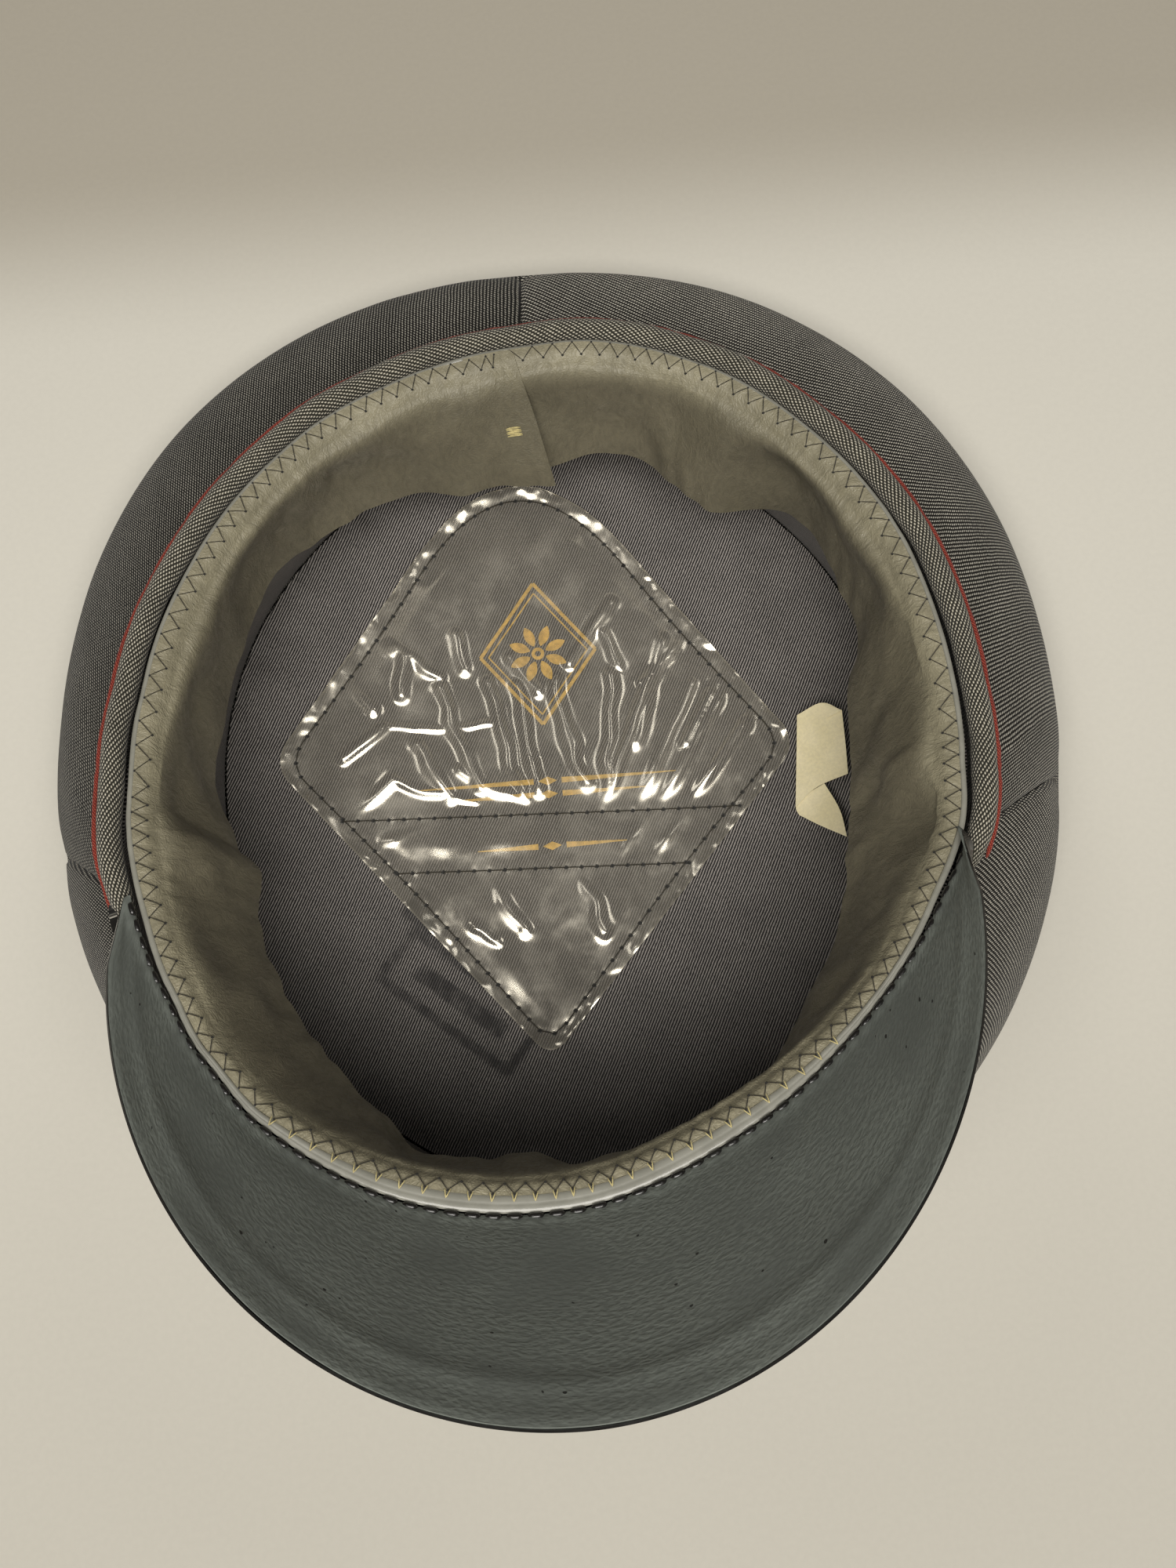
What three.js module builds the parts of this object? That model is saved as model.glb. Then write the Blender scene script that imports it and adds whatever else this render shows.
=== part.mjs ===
// A cloth visor cap that lies upside down on its crown, its hollow facing up and its peak towards -Y.
// Millimetres, +Z up. The origin is the middle of the flat of the crown, where the cap rests.
// Angles are degrees round the head opening: 0 at the peak, 90 at +X, 180 at the back.
import * as THREE from 'three';
import { mergeVertices } from 'three/addons/utils/BufferGeometryUtils.js';

const { degToRad, lerp, smoothstep } = THREE.MathUtils;

// Clearance between pieces that are sewn or glued together.
const GAP = 0.3;

// Head opening: an egg-shaped line round the rim, a little out of true, in a plane that rises to the peak.
const RIM = { halfWidth: 86, back: 107, front: 86.5, backPower: 2.16, frontPower: 1.85, skew: 3 };
const RIM_MIDDLE = new THREE.Vector3(-2.4, -17.7, 85);
const RIM_TILT = 11.8;

// Crown: its widest outline, the height of that edge and the flat that it lies on.
const CROWN = { halfWidth: 122.5, back: 128.5, front: 129.5, backPower: 2.18, frontPower: 2, skew: 0 };
const CROWN_EDGE = 20;
const CLOTH = 1.6;
const SIDE_SEAM = 82;

// How a side panel swells: its pull straight up at the crown's edge and its pull outwards at the band,
// as fixed lifts and as parts of the panel's rise and width.
const SWELL = { edgeLift: 4, edgeRise: 0.36, seamReach: 0.5, seamLift: 3, seamDrop: 0.1 };

// Upright cloth band under the rim. Heights are measured from the rim plane, widths outwards from its line.
const BAND = { inner: 3, foot: -38, top: -5.8, topAtPeak: -1.8 };

// Padded roll, red piping and pale welt that run round the rim.
const PEAK_CORNER = 74;
const ROLL = { out: 3.2, up: -2.4, halfWidth: 2.75, halfHeight: 3, end: 77, sides: 8, steps: 44 };
const PIPING = { out: 6.55, up: -4, halfWidth: 0.65, halfHeight: 0.65, end: 78, sides: 6, steps: 56 };
const WELT = { outer: 0.05, width: 1.3, widthAtPeak: 3, top: 0.5, foot: -1.3 };

// The welt is widest and the sweatband steepest over the peak; both change between these angles.
const PEAK_SIDE = { from: 49, to: 82 };

// Peak: a sheet that leaves the rim outwards and upwards, longest in the middle and a little longer on +X.
const PEAK = { length: 54, shortest: 1.5, taper: 2.3, fullness: 1.15, sideways: 0.16 };
const PEAK_SLOPE = { middle: 44, gain: 10 };
const PEAK_REACH = 76;
const PEAK_FORWARD = 0.6;
const PEAK_START = 0.4;
const PEAK_SHELL = 1.6;
const PEAK_LINING = 0.8;
const PEAK_LINING_INSET = 1.2;

// Sweatband: a sewn strip that slopes in from the welt and then hangs, lapped at the back,
// and how far its free edge swings in from the rim line.
const SWEATBAND = { thickness: 1, top: 0.6, foot: -32, lap: 9, lapLift: 1.6, lapLean: 4 };
const STRIP = { width: 5.5, widthAtPeak: 2.5, drop: 3, dropAtPeak: 5, crest: 0.55, crestDrop: 0.25 };
const HANG = { part: 0.5, bulge: 0.25 };
const SWEATBAND_SWING = [
  { angle: -184, inward: 18 },
  { angle: -170, inward: 16 },
  { angle: -150, inward: 6 },
  { angle: -130, inward: 2.6 },
  { angle: -103, inward: 7 },
  { angle: -82, inward: 21 },
  { angle: -64, inward: 18 },
  { angle: -45, inward: 13.5 },
  { angle: -26, inward: 6.2 },
  { angle: -11, inward: 14 },
  { angle: 6, inward: 9.8 },
  { angle: 32, inward: 7.6 },
  { angle: 58, inward: 14.5 },
  { angle: 78, inward: 19.5 },
  { angle: 98, inward: 17 },
  { angle: 114, inward: 8 },
  { angle: 132, inward: 3.4 },
  { angle: 145, inward: 16.5 },
  { angle: 166, inward: 9 },
  { angle: 187, inward: 15.5 },
];

// Lining: a side strip down from the band to an oval seam, and a dished disc that sags onto the crown.
const LINING = { thickness: 1, top: -8, bend: -36, outAtTop: 1.3, outAtBend: 0.8, seamHeight: 7, sag: 4.6 };
const LINING_SEAM = { halfWidth: 85.5, back: 87, front: 106, backPower: 2, frontPower: 2, skew: 0 };

// Clear film sewn to the lining: a lozenge with rounded corners, round first at the back.
const SHIELD = { middle: new THREE.Vector2(-5.6, 2.5), thickness: 0.5 };
const SHIELD_CORNERS = [
  { x: 0, y: 92, round: 0.42 },
  { x: -68, y: 3, round: 0.14 },
  { x: -2, y: -77, round: 0.1 },
  { x: 67, y: -2, round: 0.14 },
];

// Folded paper tag that leans from the lining disc to the side strip on the +X side, a row per crease.
const LABEL = { thickness: 0.6, footX: 62, headZ: 34, headClear: 2 };
const LABEL_CREASES = [
  { y: 4, lift: 0 },
  { y: -13, lift: 0.4 },
  { y: -18, lift: 3.2 },
  { y: -30, lift: 0.6 },
];

// Numbers of steps round each ring.
const RING_STEPS = 48;
const SWEATBAND_STEPS = 84;
const PANEL_STEPS = 10;
const PANEL_RISE_STEPS = 5;
const PEAK_STEPS = 24;
const BAND_PEAK_STEPS = 18;
const BAND_BACK_STEPS = 32;

const cap = new THREE.Group();
const headRing = new THREE.Group();
headRing.position.copy(RIM_MIDDLE);
headRing.rotation.x = -degToRad(RIM_TILT);
cap.add(headRing);
cap.updateMatrixWorld(true);

// Closed ovals, their outward direction and points beside them.
function ovalPoint(oval, angle) {
  const turn = degToRad(angle - 90);
  const c = Math.cos(turn);
  const s = Math.sin(turn);
  const length = s >= 0 ? oval.back : oval.front;
  const power = 2 / (s >= 0 ? oval.backPower : oval.frontPower);
  const x = oval.halfWidth * Math.sign(c) * Math.abs(c) ** power;
  const y = length * Math.sign(s) * Math.abs(s) ** power;
  const stretch = 1 + (oval.skew / oval.halfWidth) * Math.sin(2 * Math.atan2(y, x));
  return new THREE.Vector2(x * stretch, y * stretch);
}

function ovalOutward(oval, angle) {
  const step = 2;
  const along = ovalPoint(oval, angle + step).sub(ovalPoint(oval, angle - step));
  return new THREE.Vector2(along.y, -along.x).normalize();
}

function beside(oval, angle, out, up) {
  const point = ovalPoint(oval, angle).addScaledVector(ovalOutward(oval, angle), out);
  return new THREE.Vector3(point.x, point.y, up);
}

function onRim(angle, out, up) {
  return beside(RIM, angle, out, up);
}

function steps(from, to, count) {
  return Array.from({ length: count + 1 }, (_, i) => lerp(from, to, i / count));
}

function ringAngles(count) {
  return steps(0, 360, count).slice(0, -1);
}

// A closed solid through cross-sections, each given as two rails of points, its face and its back.
function loft(sections, closed) {
  const rows = sections.map(({ face, back }) => [...face, ...back.toReversed()]);
  const width = rows[0].length;
  const index = [];
  const quad = (a, b, c, d) => index.push(a, b, c, a, c, d);
  const bays = closed ? rows.length : rows.length - 1;
  for (let i = 0; i < bays; i += 1) {
    const here = i * width;
    const next = ((i + 1) % rows.length) * width;
    for (let j = 0; j < width; j += 1) {
      const k = (j + 1) % width;
      quad(here + j, next + j, next + k, here + k);
    }
  }
  if (!closed) {
    const last = (rows.length - 1) * width;
    for (let j = 0; j < width / 2 - 1; j += 1) {
      quad(j, j + 1, width - 2 - j, width - 1 - j);
      quad(last + width - 1 - j, last + width - 2 - j, last + j + 1, last + j);
    }
  }
  return solidFrom(rows.flat(), index);
}

// Merges points that coincide, drops the triangles that this empties and turns the faces outwards.
function solidFrom(points, index) {
  const loose = new THREE.BufferGeometry().setFromPoints(points);
  loose.setIndex(index);
  const merged = mergeVertices(loose);
  const corner = (i) => new THREE.Vector3().fromBufferAttribute(merged.attributes.position, i);
  const triangles = [];
  let volume = 0;
  for (let i = 0; i < merged.index.count; i += 3) {
    const [a, b, c] = merged.index.array.slice(i, i + 3);
    if (a !== b && b !== c && c !== a) {
      triangles.push([a, b, c]);
      volume += corner(a).dot(corner(b).cross(corner(c)));
    }
  }
  merged.setIndex(triangles.flatMap(([a, b, c]) => (volume > 0 ? [a, b, c] : [a, c, b])));
  merged.computeVertexNormals();
  return merged;
}

function addPiece(group, name, geometry, color, roughness) {
  const material = new THREE.MeshStandardMaterial({ color, roughness, metalness: 0 });
  const piece = new THREE.Mesh(geometry, material);
  piece.name = name;
  group.add(piece);
}

// Crown top: flat where it rests, then curled up to the widest edge of the crown.
function crownTop() {
  const curl = steps(0, 90, 4).map(degToRad);
  const rail = (angle, depth) => {
    const radius = CROWN_EDGE - depth;
    const arc = curl.map((turn) => {
      const out = -CROWN_EDGE + radius * Math.sin(turn);
      return beside(CROWN, angle, out, CROWN_EDGE - radius * Math.cos(turn));
    });
    return [new THREE.Vector3(0, 0, depth), ...arc];
  };
  const section = (angle) => ({ face: rail(angle, 0), back: rail(angle, CLOTH) });
  return loft(ringAngles(RING_STEPS).map(section), true);
}

// Crown side panel: swells from the crown's edge in and up to the foot of the band.
function panelSection(angle) {
  const edge = beside(CROWN, angle, 0, CROWN_EDGE + GAP);
  const sewn = headRing.localToWorld(onRim(angle, BAND.inner + CLOTH, BAND.foot - GAP));
  const outward = new THREE.Vector3(edge.x - sewn.x, edge.y - sewn.y, 0);
  const rise = Math.max(sewn.z - edge.z, 0);
  const overEdge = edge.clone().setZ(edge.z + SWELL.edgeLift + SWELL.edgeRise * rise);
  const overSeam = sewn.clone().addScaledVector(outward, SWELL.seamReach);
  overSeam.z += SWELL.seamLift - SWELL.seamDrop * rise;
  const curve = new THREE.CubicBezierCurve3(edge, overEdge, overSeam, sewn);
  const across = new THREE.Vector3(-outward.y, outward.x, 0).normalize();
  const face = curve.getPoints(PANEL_RISE_STEPS);
  const back = face.map((point, i) => {
    const along = curve.getTangent(i / PANEL_RISE_STEPS);
    const inward = new THREE.Vector3().crossVectors(along, across).normalize();
    return point.clone().addScaledVector(inward, CLOTH);
  });
  return { face, back };
}

function crownPanel(from, to) {
  const seamHalf = THREE.MathUtils.radToDeg(GAP / 2 / CROWN.halfWidth);
  return loft(steps(from + seamHalf, to - seamHalf, PANEL_STEPS).map(panelSection), false);
}

// Band: an upright wall, lower where the roll lies on it and higher under the peak.
function band() {
  const underPeak = steps(-PEAK_CORNER, PEAK_CORNER, BAND_PEAK_STEPS);
  const underRoll = steps(ROLL.end - 1, 361 - ROLL.end, BAND_BACK_STEPS);
  const sections = [...underPeak, ...underRoll].map((angle) => {
    const top = angle <= PEAK_CORNER ? BAND.topAtPeak : BAND.top;
    const wall = (out) => [onRim(angle, out, top), onRim(angle, out, BAND.foot)];
    return { face: wall(BAND.inner + CLOTH), back: wall(BAND.inner) };
  });
  return loft(sections, true);
}

// A rounded cord along the rim from one peak corner round the back to the other.
function rimCord({ out, up, halfWidth, halfHeight, end, sides, steps: count }) {
  const sections = steps(end, 360 - end, count).map((angle) => {
    const half = (sign) => steps(0, 180, sides / 2 + 1).slice(1, -1).map((turn) => {
      const side = Math.cos(degToRad(turn)) * halfWidth;
      const height = sign * Math.sin(degToRad(turn)) * halfHeight;
      return onRim(angle, out + side, up + height);
    });
    return { face: half(1), back: half(-1) };
  });
  return loft(sections, false);
}

// Goes from the value over the peak to the value round the rest of the rim.
function fromPeak(atPeak, elsewhere, angle) {
  const turn = Math.abs(angle > 180 ? angle - 360 : angle);
  return lerp(atPeak, elsewhere, smoothstep(turn, PEAK_SIDE.from, PEAK_SIDE.to));
}

function weltWidth(angle) {
  return fromPeak(WELT.widthAtPeak, WELT.width, angle);
}

function welt() {
  const sections = ringAngles(RING_STEPS).map((angle) => {
    const inner = -WELT.outer - weltWidth(angle);
    const middle = (-WELT.outer + inner) / 2;
    const across = [-WELT.outer, middle, inner];
    const tops = [0, WELT.top, 0];
    return {
      face: across.map((out, i) => onRim(angle, out, tops[i])),
      back: across.map((out) => onRim(angle, out, WELT.foot)),
    };
  });
  return loft(sections, true);
}

// Free edge of the sweatband: smooth between the rows of its table.
function sweatbandSwing(angle) {
  const last = SWEATBAND_SWING.length - 2;
  const row = Math.min(last, SWEATBAND_SWING.findLastIndex((entry) => entry.angle <= angle));
  const here = SWEATBAND_SWING[row];
  const next = SWEATBAND_SWING[row + 1];
  return lerp(here.inward, next.inward, smoothstep(angle, here.angle, next.angle));
}

// Face of the sweatband from its sewn edge to its free edge, as inward reach and height.
function sweatbandProfile(angle, lap) {
  const width = fromPeak(STRIP.widthAtPeak, STRIP.width, angle);
  const drop = fromPeak(STRIP.dropAtPeak, STRIP.drop, angle);
  const sewn = new THREE.Vector2(WELT.outer + weltWidth(angle) + 3 * GAP + lap, SWEATBAND.top);
  const crest = new THREE.Vector2(sewn.x + STRIP.crest * width, sewn.y - STRIP.crestDrop * drop);
  const fold = new THREE.Vector2(sewn.x + width, sewn.y - drop);
  const free = new THREE.Vector2(sweatbandSwing(angle), SWEATBAND.foot);
  const hang = fold.clone().lerp(free, HANG.part);
  hang.x += HANG.bulge * (fold.x - free.x);
  return [sewn, crest, fold, hang, free];
}

// The other side of a wall whose face is a profile of inward reach and height.
function behind(profile, thickness) {
  return profile.map((point, i) => {
    const before = profile[Math.max(i - 1, 0)];
    const after = profile[Math.min(i + 1, profile.length - 1)];
    const along = after.clone().sub(before).normalize();
    return point.clone().addScaledVector(new THREE.Vector2(along.y, -along.x), thickness);
  });
}

// Sweatband: one end passes over the other at the back, so that end lies further in and is cut aslant.
function sweatband() {
  const from = SWEATBAND_SWING[0].angle;
  const to = SWEATBAND_SWING.at(-1).angle;
  const sections = steps(from, to, SWEATBAND_STEPS).map((angle) => {
    const lap = SWEATBAND.lapLift * (1 - smoothstep(angle, from + SWEATBAND.lap, from + 2 * SWEATBAND.lap));
    const lean = SWEATBAND.lapLean * (1 - smoothstep(angle, from, from + SWEATBAND.lap));
    const face = sweatbandProfile(angle, lap);
    const onWall = ({ x, y }) => onRim(angle + lean * (1 - y / SWEATBAND.foot), -x, y);
    return { face: face.map(onWall), back: behind(face, SWEATBAND.thickness).map(onWall) };
  });
  return loft(sections, false);
}

// Peak: how far it reaches at each angle, and points on the sheet, in parts of that reach and in depth.
function peakReach(angle) {
  const part = Math.abs(angle) / PEAK_REACH;
  const full = PEAK.length * (1 - part ** PEAK.taper) ** PEAK.fullness;
  return PEAK.shortest + full * (1 + PEAK.sideways * (angle / PEAK_REACH));
}

function peakPoint(angle, reach, depth) {
  const outward = ovalOutward(RIM, angle);
  const ahead = new THREE.Vector2(0, -1);
  const flat = outward.multiplyScalar(1 - PEAK_FORWARD).addScaledVector(ahead, PEAK_FORWARD).normalize();
  const slope = degToRad(PEAK_SLOPE.middle + PEAK_SLOPE.gain * (angle / PEAK_REACH) ** 2);
  const along = new THREE.Vector3(flat.x * Math.cos(slope), flat.y * Math.cos(slope), Math.sin(slope));
  const below = new THREE.Vector3(flat.x * Math.sin(slope), flat.y * Math.sin(slope), -Math.cos(slope));
  return onRim(angle, PEAK_START, 0).addScaledVector(along, reach).addScaledVector(below, depth);
}

function peakSheet(depth, thickness, inset) {
  const sections = steps(-PEAK_CORNER, PEAK_CORNER, PEAK_STEPS).map((angle) => {
    const reach = peakReach(angle) - inset;
    const rail = (level) => steps(0, 1, 3).map((part) => peakPoint(angle, reach * part, level));
    return { face: rail(depth), back: rail(depth + thickness) };
  });
  return loft(sections, false);
}

// Lining: the side strip first follows the band and then runs to the seam of the disc.
function liningSide() {
  const sections = ringAngles(RING_STEPS).map((angle) => {
    const rail = (depth) => [
      headRing.localToWorld(onRim(angle, LINING.outAtTop + depth, LINING.top)),
      headRing.localToWorld(onRim(angle, LINING.outAtBend + depth, LINING.bend)),
      beside(LINING_SEAM, angle, depth, LINING.seamHeight),
    ];
    return { face: rail(0), back: rail(LINING.thickness) };
  });
  return loft(sections, true);
}

function liningHeight(x, y) {
  const length = y > 0 ? LINING_SEAM.back : LINING_SEAM.front;
  return CLOTH + GAP + LINING.sag * Math.hypot(x / LINING_SEAM.halfWidth, y / length) ** 3;
}

// A sheet that lies on the dished lining, from its middle out to a closed outline.
function liningSheet(middle, outline, lift, thickness) {
  const sections = outline.map((edge) => {
    const rail = (level) => steps(0, 1, 4).map((part) => {
      const x = lerp(middle.x, edge.x, part);
      const y = lerp(middle.y, edge.y, part);
      return new THREE.Vector3(x, y, liningHeight(x, y) + level);
    });
    return { face: rail(lift + thickness), back: rail(lift) };
  });
  return loft(sections, true);
}

function liningTop() {
  const seam = ringAngles(RING_STEPS).map((angle) => beside(LINING_SEAM, angle, -2 * GAP, 0));
  return liningSheet(new THREE.Vector2(0, 0), seam, 0, LINING.thickness);
}

function sweatShield() {
  const corners = SHIELD_CORNERS.map(({ x, y }) => new THREE.Vector2(x, y).add(SHIELD.middle));
  const outline = new THREE.Path();
  corners.forEach((corner, i) => {
    const before = corners.at(i - 1);
    const after = corners[(i + 1) % corners.length];
    const start = corner.clone().lerp(before, SHIELD_CORNERS[i].round);
    const end = corner.clone().lerp(after, SHIELD_CORNERS[i].round);
    if (i === 0) outline.moveTo(start.x, start.y);
    else outline.lineTo(start.x, start.y);
    outline.quadraticCurveTo(corner.x, corner.y, end.x, end.y);
  });
  outline.closePath();
  const points = outline.getSpacedPoints(RING_STEPS).slice(0, -1);
  return liningSheet(SHIELD.middle, points, LINING.thickness + GAP, SHIELD.thickness);
}

function paperLabel() {
  const sections = LABEL_CREASES.map(({ y, lift }) => {
    const footZ = liningHeight(LABEL.footX, y) + LINING.thickness + GAP + lift;
    const headX = LINING_SEAM.halfWidth * Math.sqrt(1 - (y / LINING_SEAM.back) ** 2) - LABEL.headClear;
    const slant = new THREE.Vector2(headX - LABEL.footX, LABEL.headZ - footZ).normalize();
    const rail = (depth) => steps(0, 1, 2).map((part) => {
      const x = lerp(LABEL.footX, headX - lift, part) - slant.y * depth;
      return new THREE.Vector3(x, y, lerp(footZ, LABEL.headZ, part) + slant.x * depth);
    });
    return { face: rail(0), back: rail(LABEL.thickness) };
  });
  return loft(sections, false);
}

const PANELS = [
  { name: 'crown_panel_front_right', from: 0, to: SIDE_SEAM },
  { name: 'crown_panel_back_right', from: SIDE_SEAM, to: 180 },
  { name: 'crown_panel_back_left', from: 180, to: 360 - SIDE_SEAM },
  { name: 'crown_panel_front_left', from: 360 - SIDE_SEAM, to: 360 },
];

addPiece(cap, 'crown_top', crownTop(), '#4f4f4e', 0.95);
for (const { name, from, to } of PANELS) addPiece(cap, name, crownPanel(from, to), '#535352', 0.95);
addPiece(headRing, 'band', band(), '#50504f', 0.95);
addPiece(headRing, 'rim_roll', rimCord(ROLL), '#6a6966', 0.95);
addPiece(headRing, 'piping', rimCord(PIPING), '#8e3a3c', 0.9);
addPiece(headRing, 'sweatband_welt', welt(), '#b9b8b0', 0.3);
addPiece(headRing, 'sweatband', sweatband(), '#6f6d62', 0.6);
addPiece(headRing, 'peak_lining', peakSheet(0, PEAK_LINING, PEAK_LINING_INSET), '#3f423c', 0.55);
addPiece(headRing, 'peak', peakSheet(PEAK_LINING + GAP, PEAK_SHELL, 0), '#161616', 0.25);
addPiece(cap, 'lining_side', liningSide(), '#3c3934', 0.9);
addPiece(cap, 'lining_top', liningTop(), '#3f3c37', 0.9);
addPiece(cap, 'sweat_shield', sweatShield(), '#8a8a80', 0.1);
addPiece(cap, 'paper_label', paperLabel(), '#cfc8ab', 0.9);

export default cap;
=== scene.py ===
"""Looks of a visor cap lying upside down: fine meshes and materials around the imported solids.

Lengths in this file are millimetres in the frame of the part, and angles are degrees round the rim,
0 at the peak and rising towards +X. Meshes are made in metres.
"""

import math
from types import SimpleNamespace as Values

import bmesh
import bpy
import numpy as np
from mathutils import Matrix, Vector


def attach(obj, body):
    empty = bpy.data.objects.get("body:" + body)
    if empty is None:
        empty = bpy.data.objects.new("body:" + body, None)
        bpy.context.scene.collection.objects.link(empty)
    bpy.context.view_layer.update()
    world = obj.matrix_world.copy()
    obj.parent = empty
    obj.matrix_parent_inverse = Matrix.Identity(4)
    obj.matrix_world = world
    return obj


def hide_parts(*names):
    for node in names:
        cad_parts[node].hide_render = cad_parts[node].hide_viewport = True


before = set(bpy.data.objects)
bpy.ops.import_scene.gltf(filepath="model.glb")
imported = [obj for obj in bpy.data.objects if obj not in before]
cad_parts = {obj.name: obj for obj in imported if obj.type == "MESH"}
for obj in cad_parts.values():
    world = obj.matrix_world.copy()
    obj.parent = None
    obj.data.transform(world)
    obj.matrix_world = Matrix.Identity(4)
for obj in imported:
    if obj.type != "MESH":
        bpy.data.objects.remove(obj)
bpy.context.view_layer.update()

MM = 0.001
BODY = "root"

# Ovals: half width, reach to the back and front, fullness of the back and front half, sideways skew.
RIM = Values(half_width=86, back=107, front=86.5, back_power=2.16, front_power=1.85, skew=3)
CROWN = Values(half_width=122.5, back=128.5, front=129.5, back_power=2.18, front_power=2, skew=0)
LINING_SEAM = Values(half_width=85.5, back=87, front=106, back_power=2, front_power=2, skew=0)

# Place and lean of the rim, on which heights are measured along its own axis.
RIM_MIDDLE = (-2.4, -17.7, 85)
RIM_TILT = 11.8

# Crown, band, roll and piping.
CLOTH = 1.6
CLOTH_GAP = 0.1
CROWN_EDGE = 20
CROWN_TOP_LEAN = 45
SIDE_SEAM = 82
PANEL_SWELL = Values(edge_lift=4, edge_rise=0.36, seam_reach=0.5, seam_lift=3, seam_drop=0.1)
BAND = Values(inner=3, foot=-38, top=-5.8, top_at_peak=-1.8, steps=(72, 77))
ROLL = Values(out=3.2, up=-2.4, half_width=2.6, half_height=3, tip=69, taper=9, tuck_in=0.6, lean=-33)
PIPING = Values(out=6.2, up=-2.25, radius=0.57, tip=72, taper=3, tuck_in=0.8, lean=40)
TUCK = Values(length=12, down=2.6, open=0.002)
PUCKER = Values(cells=48, height=8, depth=0.5, starts=(4, 18))

# Crown panels: dips at their seams as depth and half width, and waves as length, number across, height.
SEAM_SHARE = 0.035
SEAM_DIPS = ((1.3, 0.8), (0.9, 7))
PANEL_WAVES = ((34, 2.2, 0.9), (13, 5, 0.22))

# Peak and the change of the welt and the sweatband beside it.
PEAK = Values(
    corner=7, length=54, shortest=1.5, taper=2.3, fullness=1.15, sideways=0.16, least=0.15, clear=0.2
)
PEAK_SLOPE = Values(middle=44, gain=10)
PEAK_SHELL_LIP = Values(width=6, sunk=(0.4, 1.1), thickness=(0.45, 1.6))
PEAK_SHEET = Values(width=6, thickness=(0.3, 0.8), lip_drop=0.2, lip_width=0.6)
PEAK_RIDGE = Values(from_edge=9, half_width=2.4, height=0.3)
PEAK_PUCKER = Values(from_rim=1.2, half_width=1.3, height=0.45)
PEAK_CORNER = 74
PEAK_REACH = 76
PEAK_FORWARD = 0.6
PEAK_START = 0.4
PEAK_SIDE = (49, 82)
PEAK_LIP = 0.3
PEAK_SEAM = Values(pitch=3.85, stitch=2.9, out=0.65, up=0.6, radius=0.65, first=0.4, last=3.5, sag=0.5)

# Welt, sweatband and lining. HANG.under is the point below the fold as inward and up. Places across
# the sweatband, such as outer, inner and middle, count from 0 at its sewn edge to 5 at its free edge.
WELT = Values(outer=0.05, width=1.3, width_at_peak=3.2, narrows=(14, 52), top=0.5, thickness=1.2)
WELT_SUNK = Values(inward=0.75, down=0.85, crown=0.45)
WELT_WAVER = Values(cells=150, height=0.05)
SWEATBAND = Values(thickness=1, top=0.3, foot=-32, lap=9, lap_lift=0.7, lap_lean=4, clear=0.1)
STRIP = Values(width=4.3, width_at_peak=3, drop=2.6, drop_at_peak=2, crest=0.55, crest_drop=0.25)
HANG = Values(part=0.5, bulge=-0.08, under=(1.7, -2.9), waves_from=(2.6, 4.2))
PLEAT = Values(height=0.25, middle=2.4, half_width=0.7)
QUILT = Values(height=0.14, middle=0.8, half_width=0.6)
SWELL_ACROSS = Values(middle=3.3, half_width=0.8)
LIFT = Values(inward=0.5, up=0.85)
ZIGZAG = Values(count=128, first=179.5, outer=0.03, inner=1.25, lift=0.3, arch=0.12, radius=0.1)
# Needle holes of the zigzag: dark blobs of painted shade, at the outer and inner turns.
HOLES = Values(outer=0.22, inner=0.3, lift=0.1, radius=0.3)
LOOPS = Values(last=40, spread=0.13, over=1.25, under=0.5, head=0.25, foot=0.15, arch=0.2, radius=0.12)
TACK = Values(
    threads=5, first=3.86, step=0.035, ends=(-181.2, -178.0), lift=0.3, cross=0.12, arch=0.25, radius=0.24
)
LINING = Values(thickness=1, top=-8, bend=-36, out_at_top=1.3, out_at_bend=0.8, seam_height=7)
LINING_SIDE = Values(roundness=0.25, gather=0.5, lean=-45)
LINING_FLOOR = Values(height=2.9, sag=4.6, lean=63, gather=0.45)

# How far the sweatband's free edge swings in from the rim line: angle, inward.
SWING = (
    (-184, 18), (-170, 16), (-150, 6), (-130, 2.6), (-103, 7), (-82, 21), (-64, 18),
    (-45, 17), (-33, 14), (-24, 9.5), (-11, 14), (6, 9.8), (32, 7.6), (58, 14.5), (78, 19.5),
    (98, 17), (114, 8), (132, 3.4), (145, 16.5), (166, 9), (187, 15.5),
)

# Soft swells and hollows under the sweatband's fold: angle, half width, inward.
SWELLS = (
    (-171, 5, 1.2), (-152, 6, 1.6), (-112, 7, 1.4), (-92, 5, -1.3), (-82, 5, 2.4), (-60, 6, 1.0),
    (76, 5, -1.6), (86, 5, 2.6), (100, 6, -1.2), (118, 6, 1.5), (143, 5, 2.0), (156, 5, -1.0),
)

# How far the real rim strays outward from its oval: angle, out.
STRAY = (
    (-180, 0.05), (-162, -0.45), (-145, 0.6), (-125, 1.5), (-110, 1.75), (-100, 1.0), (-88, -0.4),
    (-70, -1.2), (-60, -0.6), (-50, 0.9), (-40, 2.6), (-22, 3.6), (0, 2.7), (25, 1.6), (45, 1.2),
    (62, 1.5), (75, 2.65), (86, 1.3), (110, 0.65), (135, -0.7), (152, -0.1), (170, 0.85), (180, 0.05),
)

# Stamped patch on the lining. Boxes: middle along and across the stamp, length, width.
INK = (0.012, 0.011, 0.011)
STAMP = Values(x=-33, y=-55, turn=-40, soft=0.4, strength=0.8)
STAMP_FRAME = ((5, 0, 42, 17), (5, 0, 37, 12))
STAMP_BLOCKS = ((5, 0, 27, 4.5), (-14, 13, 13, 9))

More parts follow.
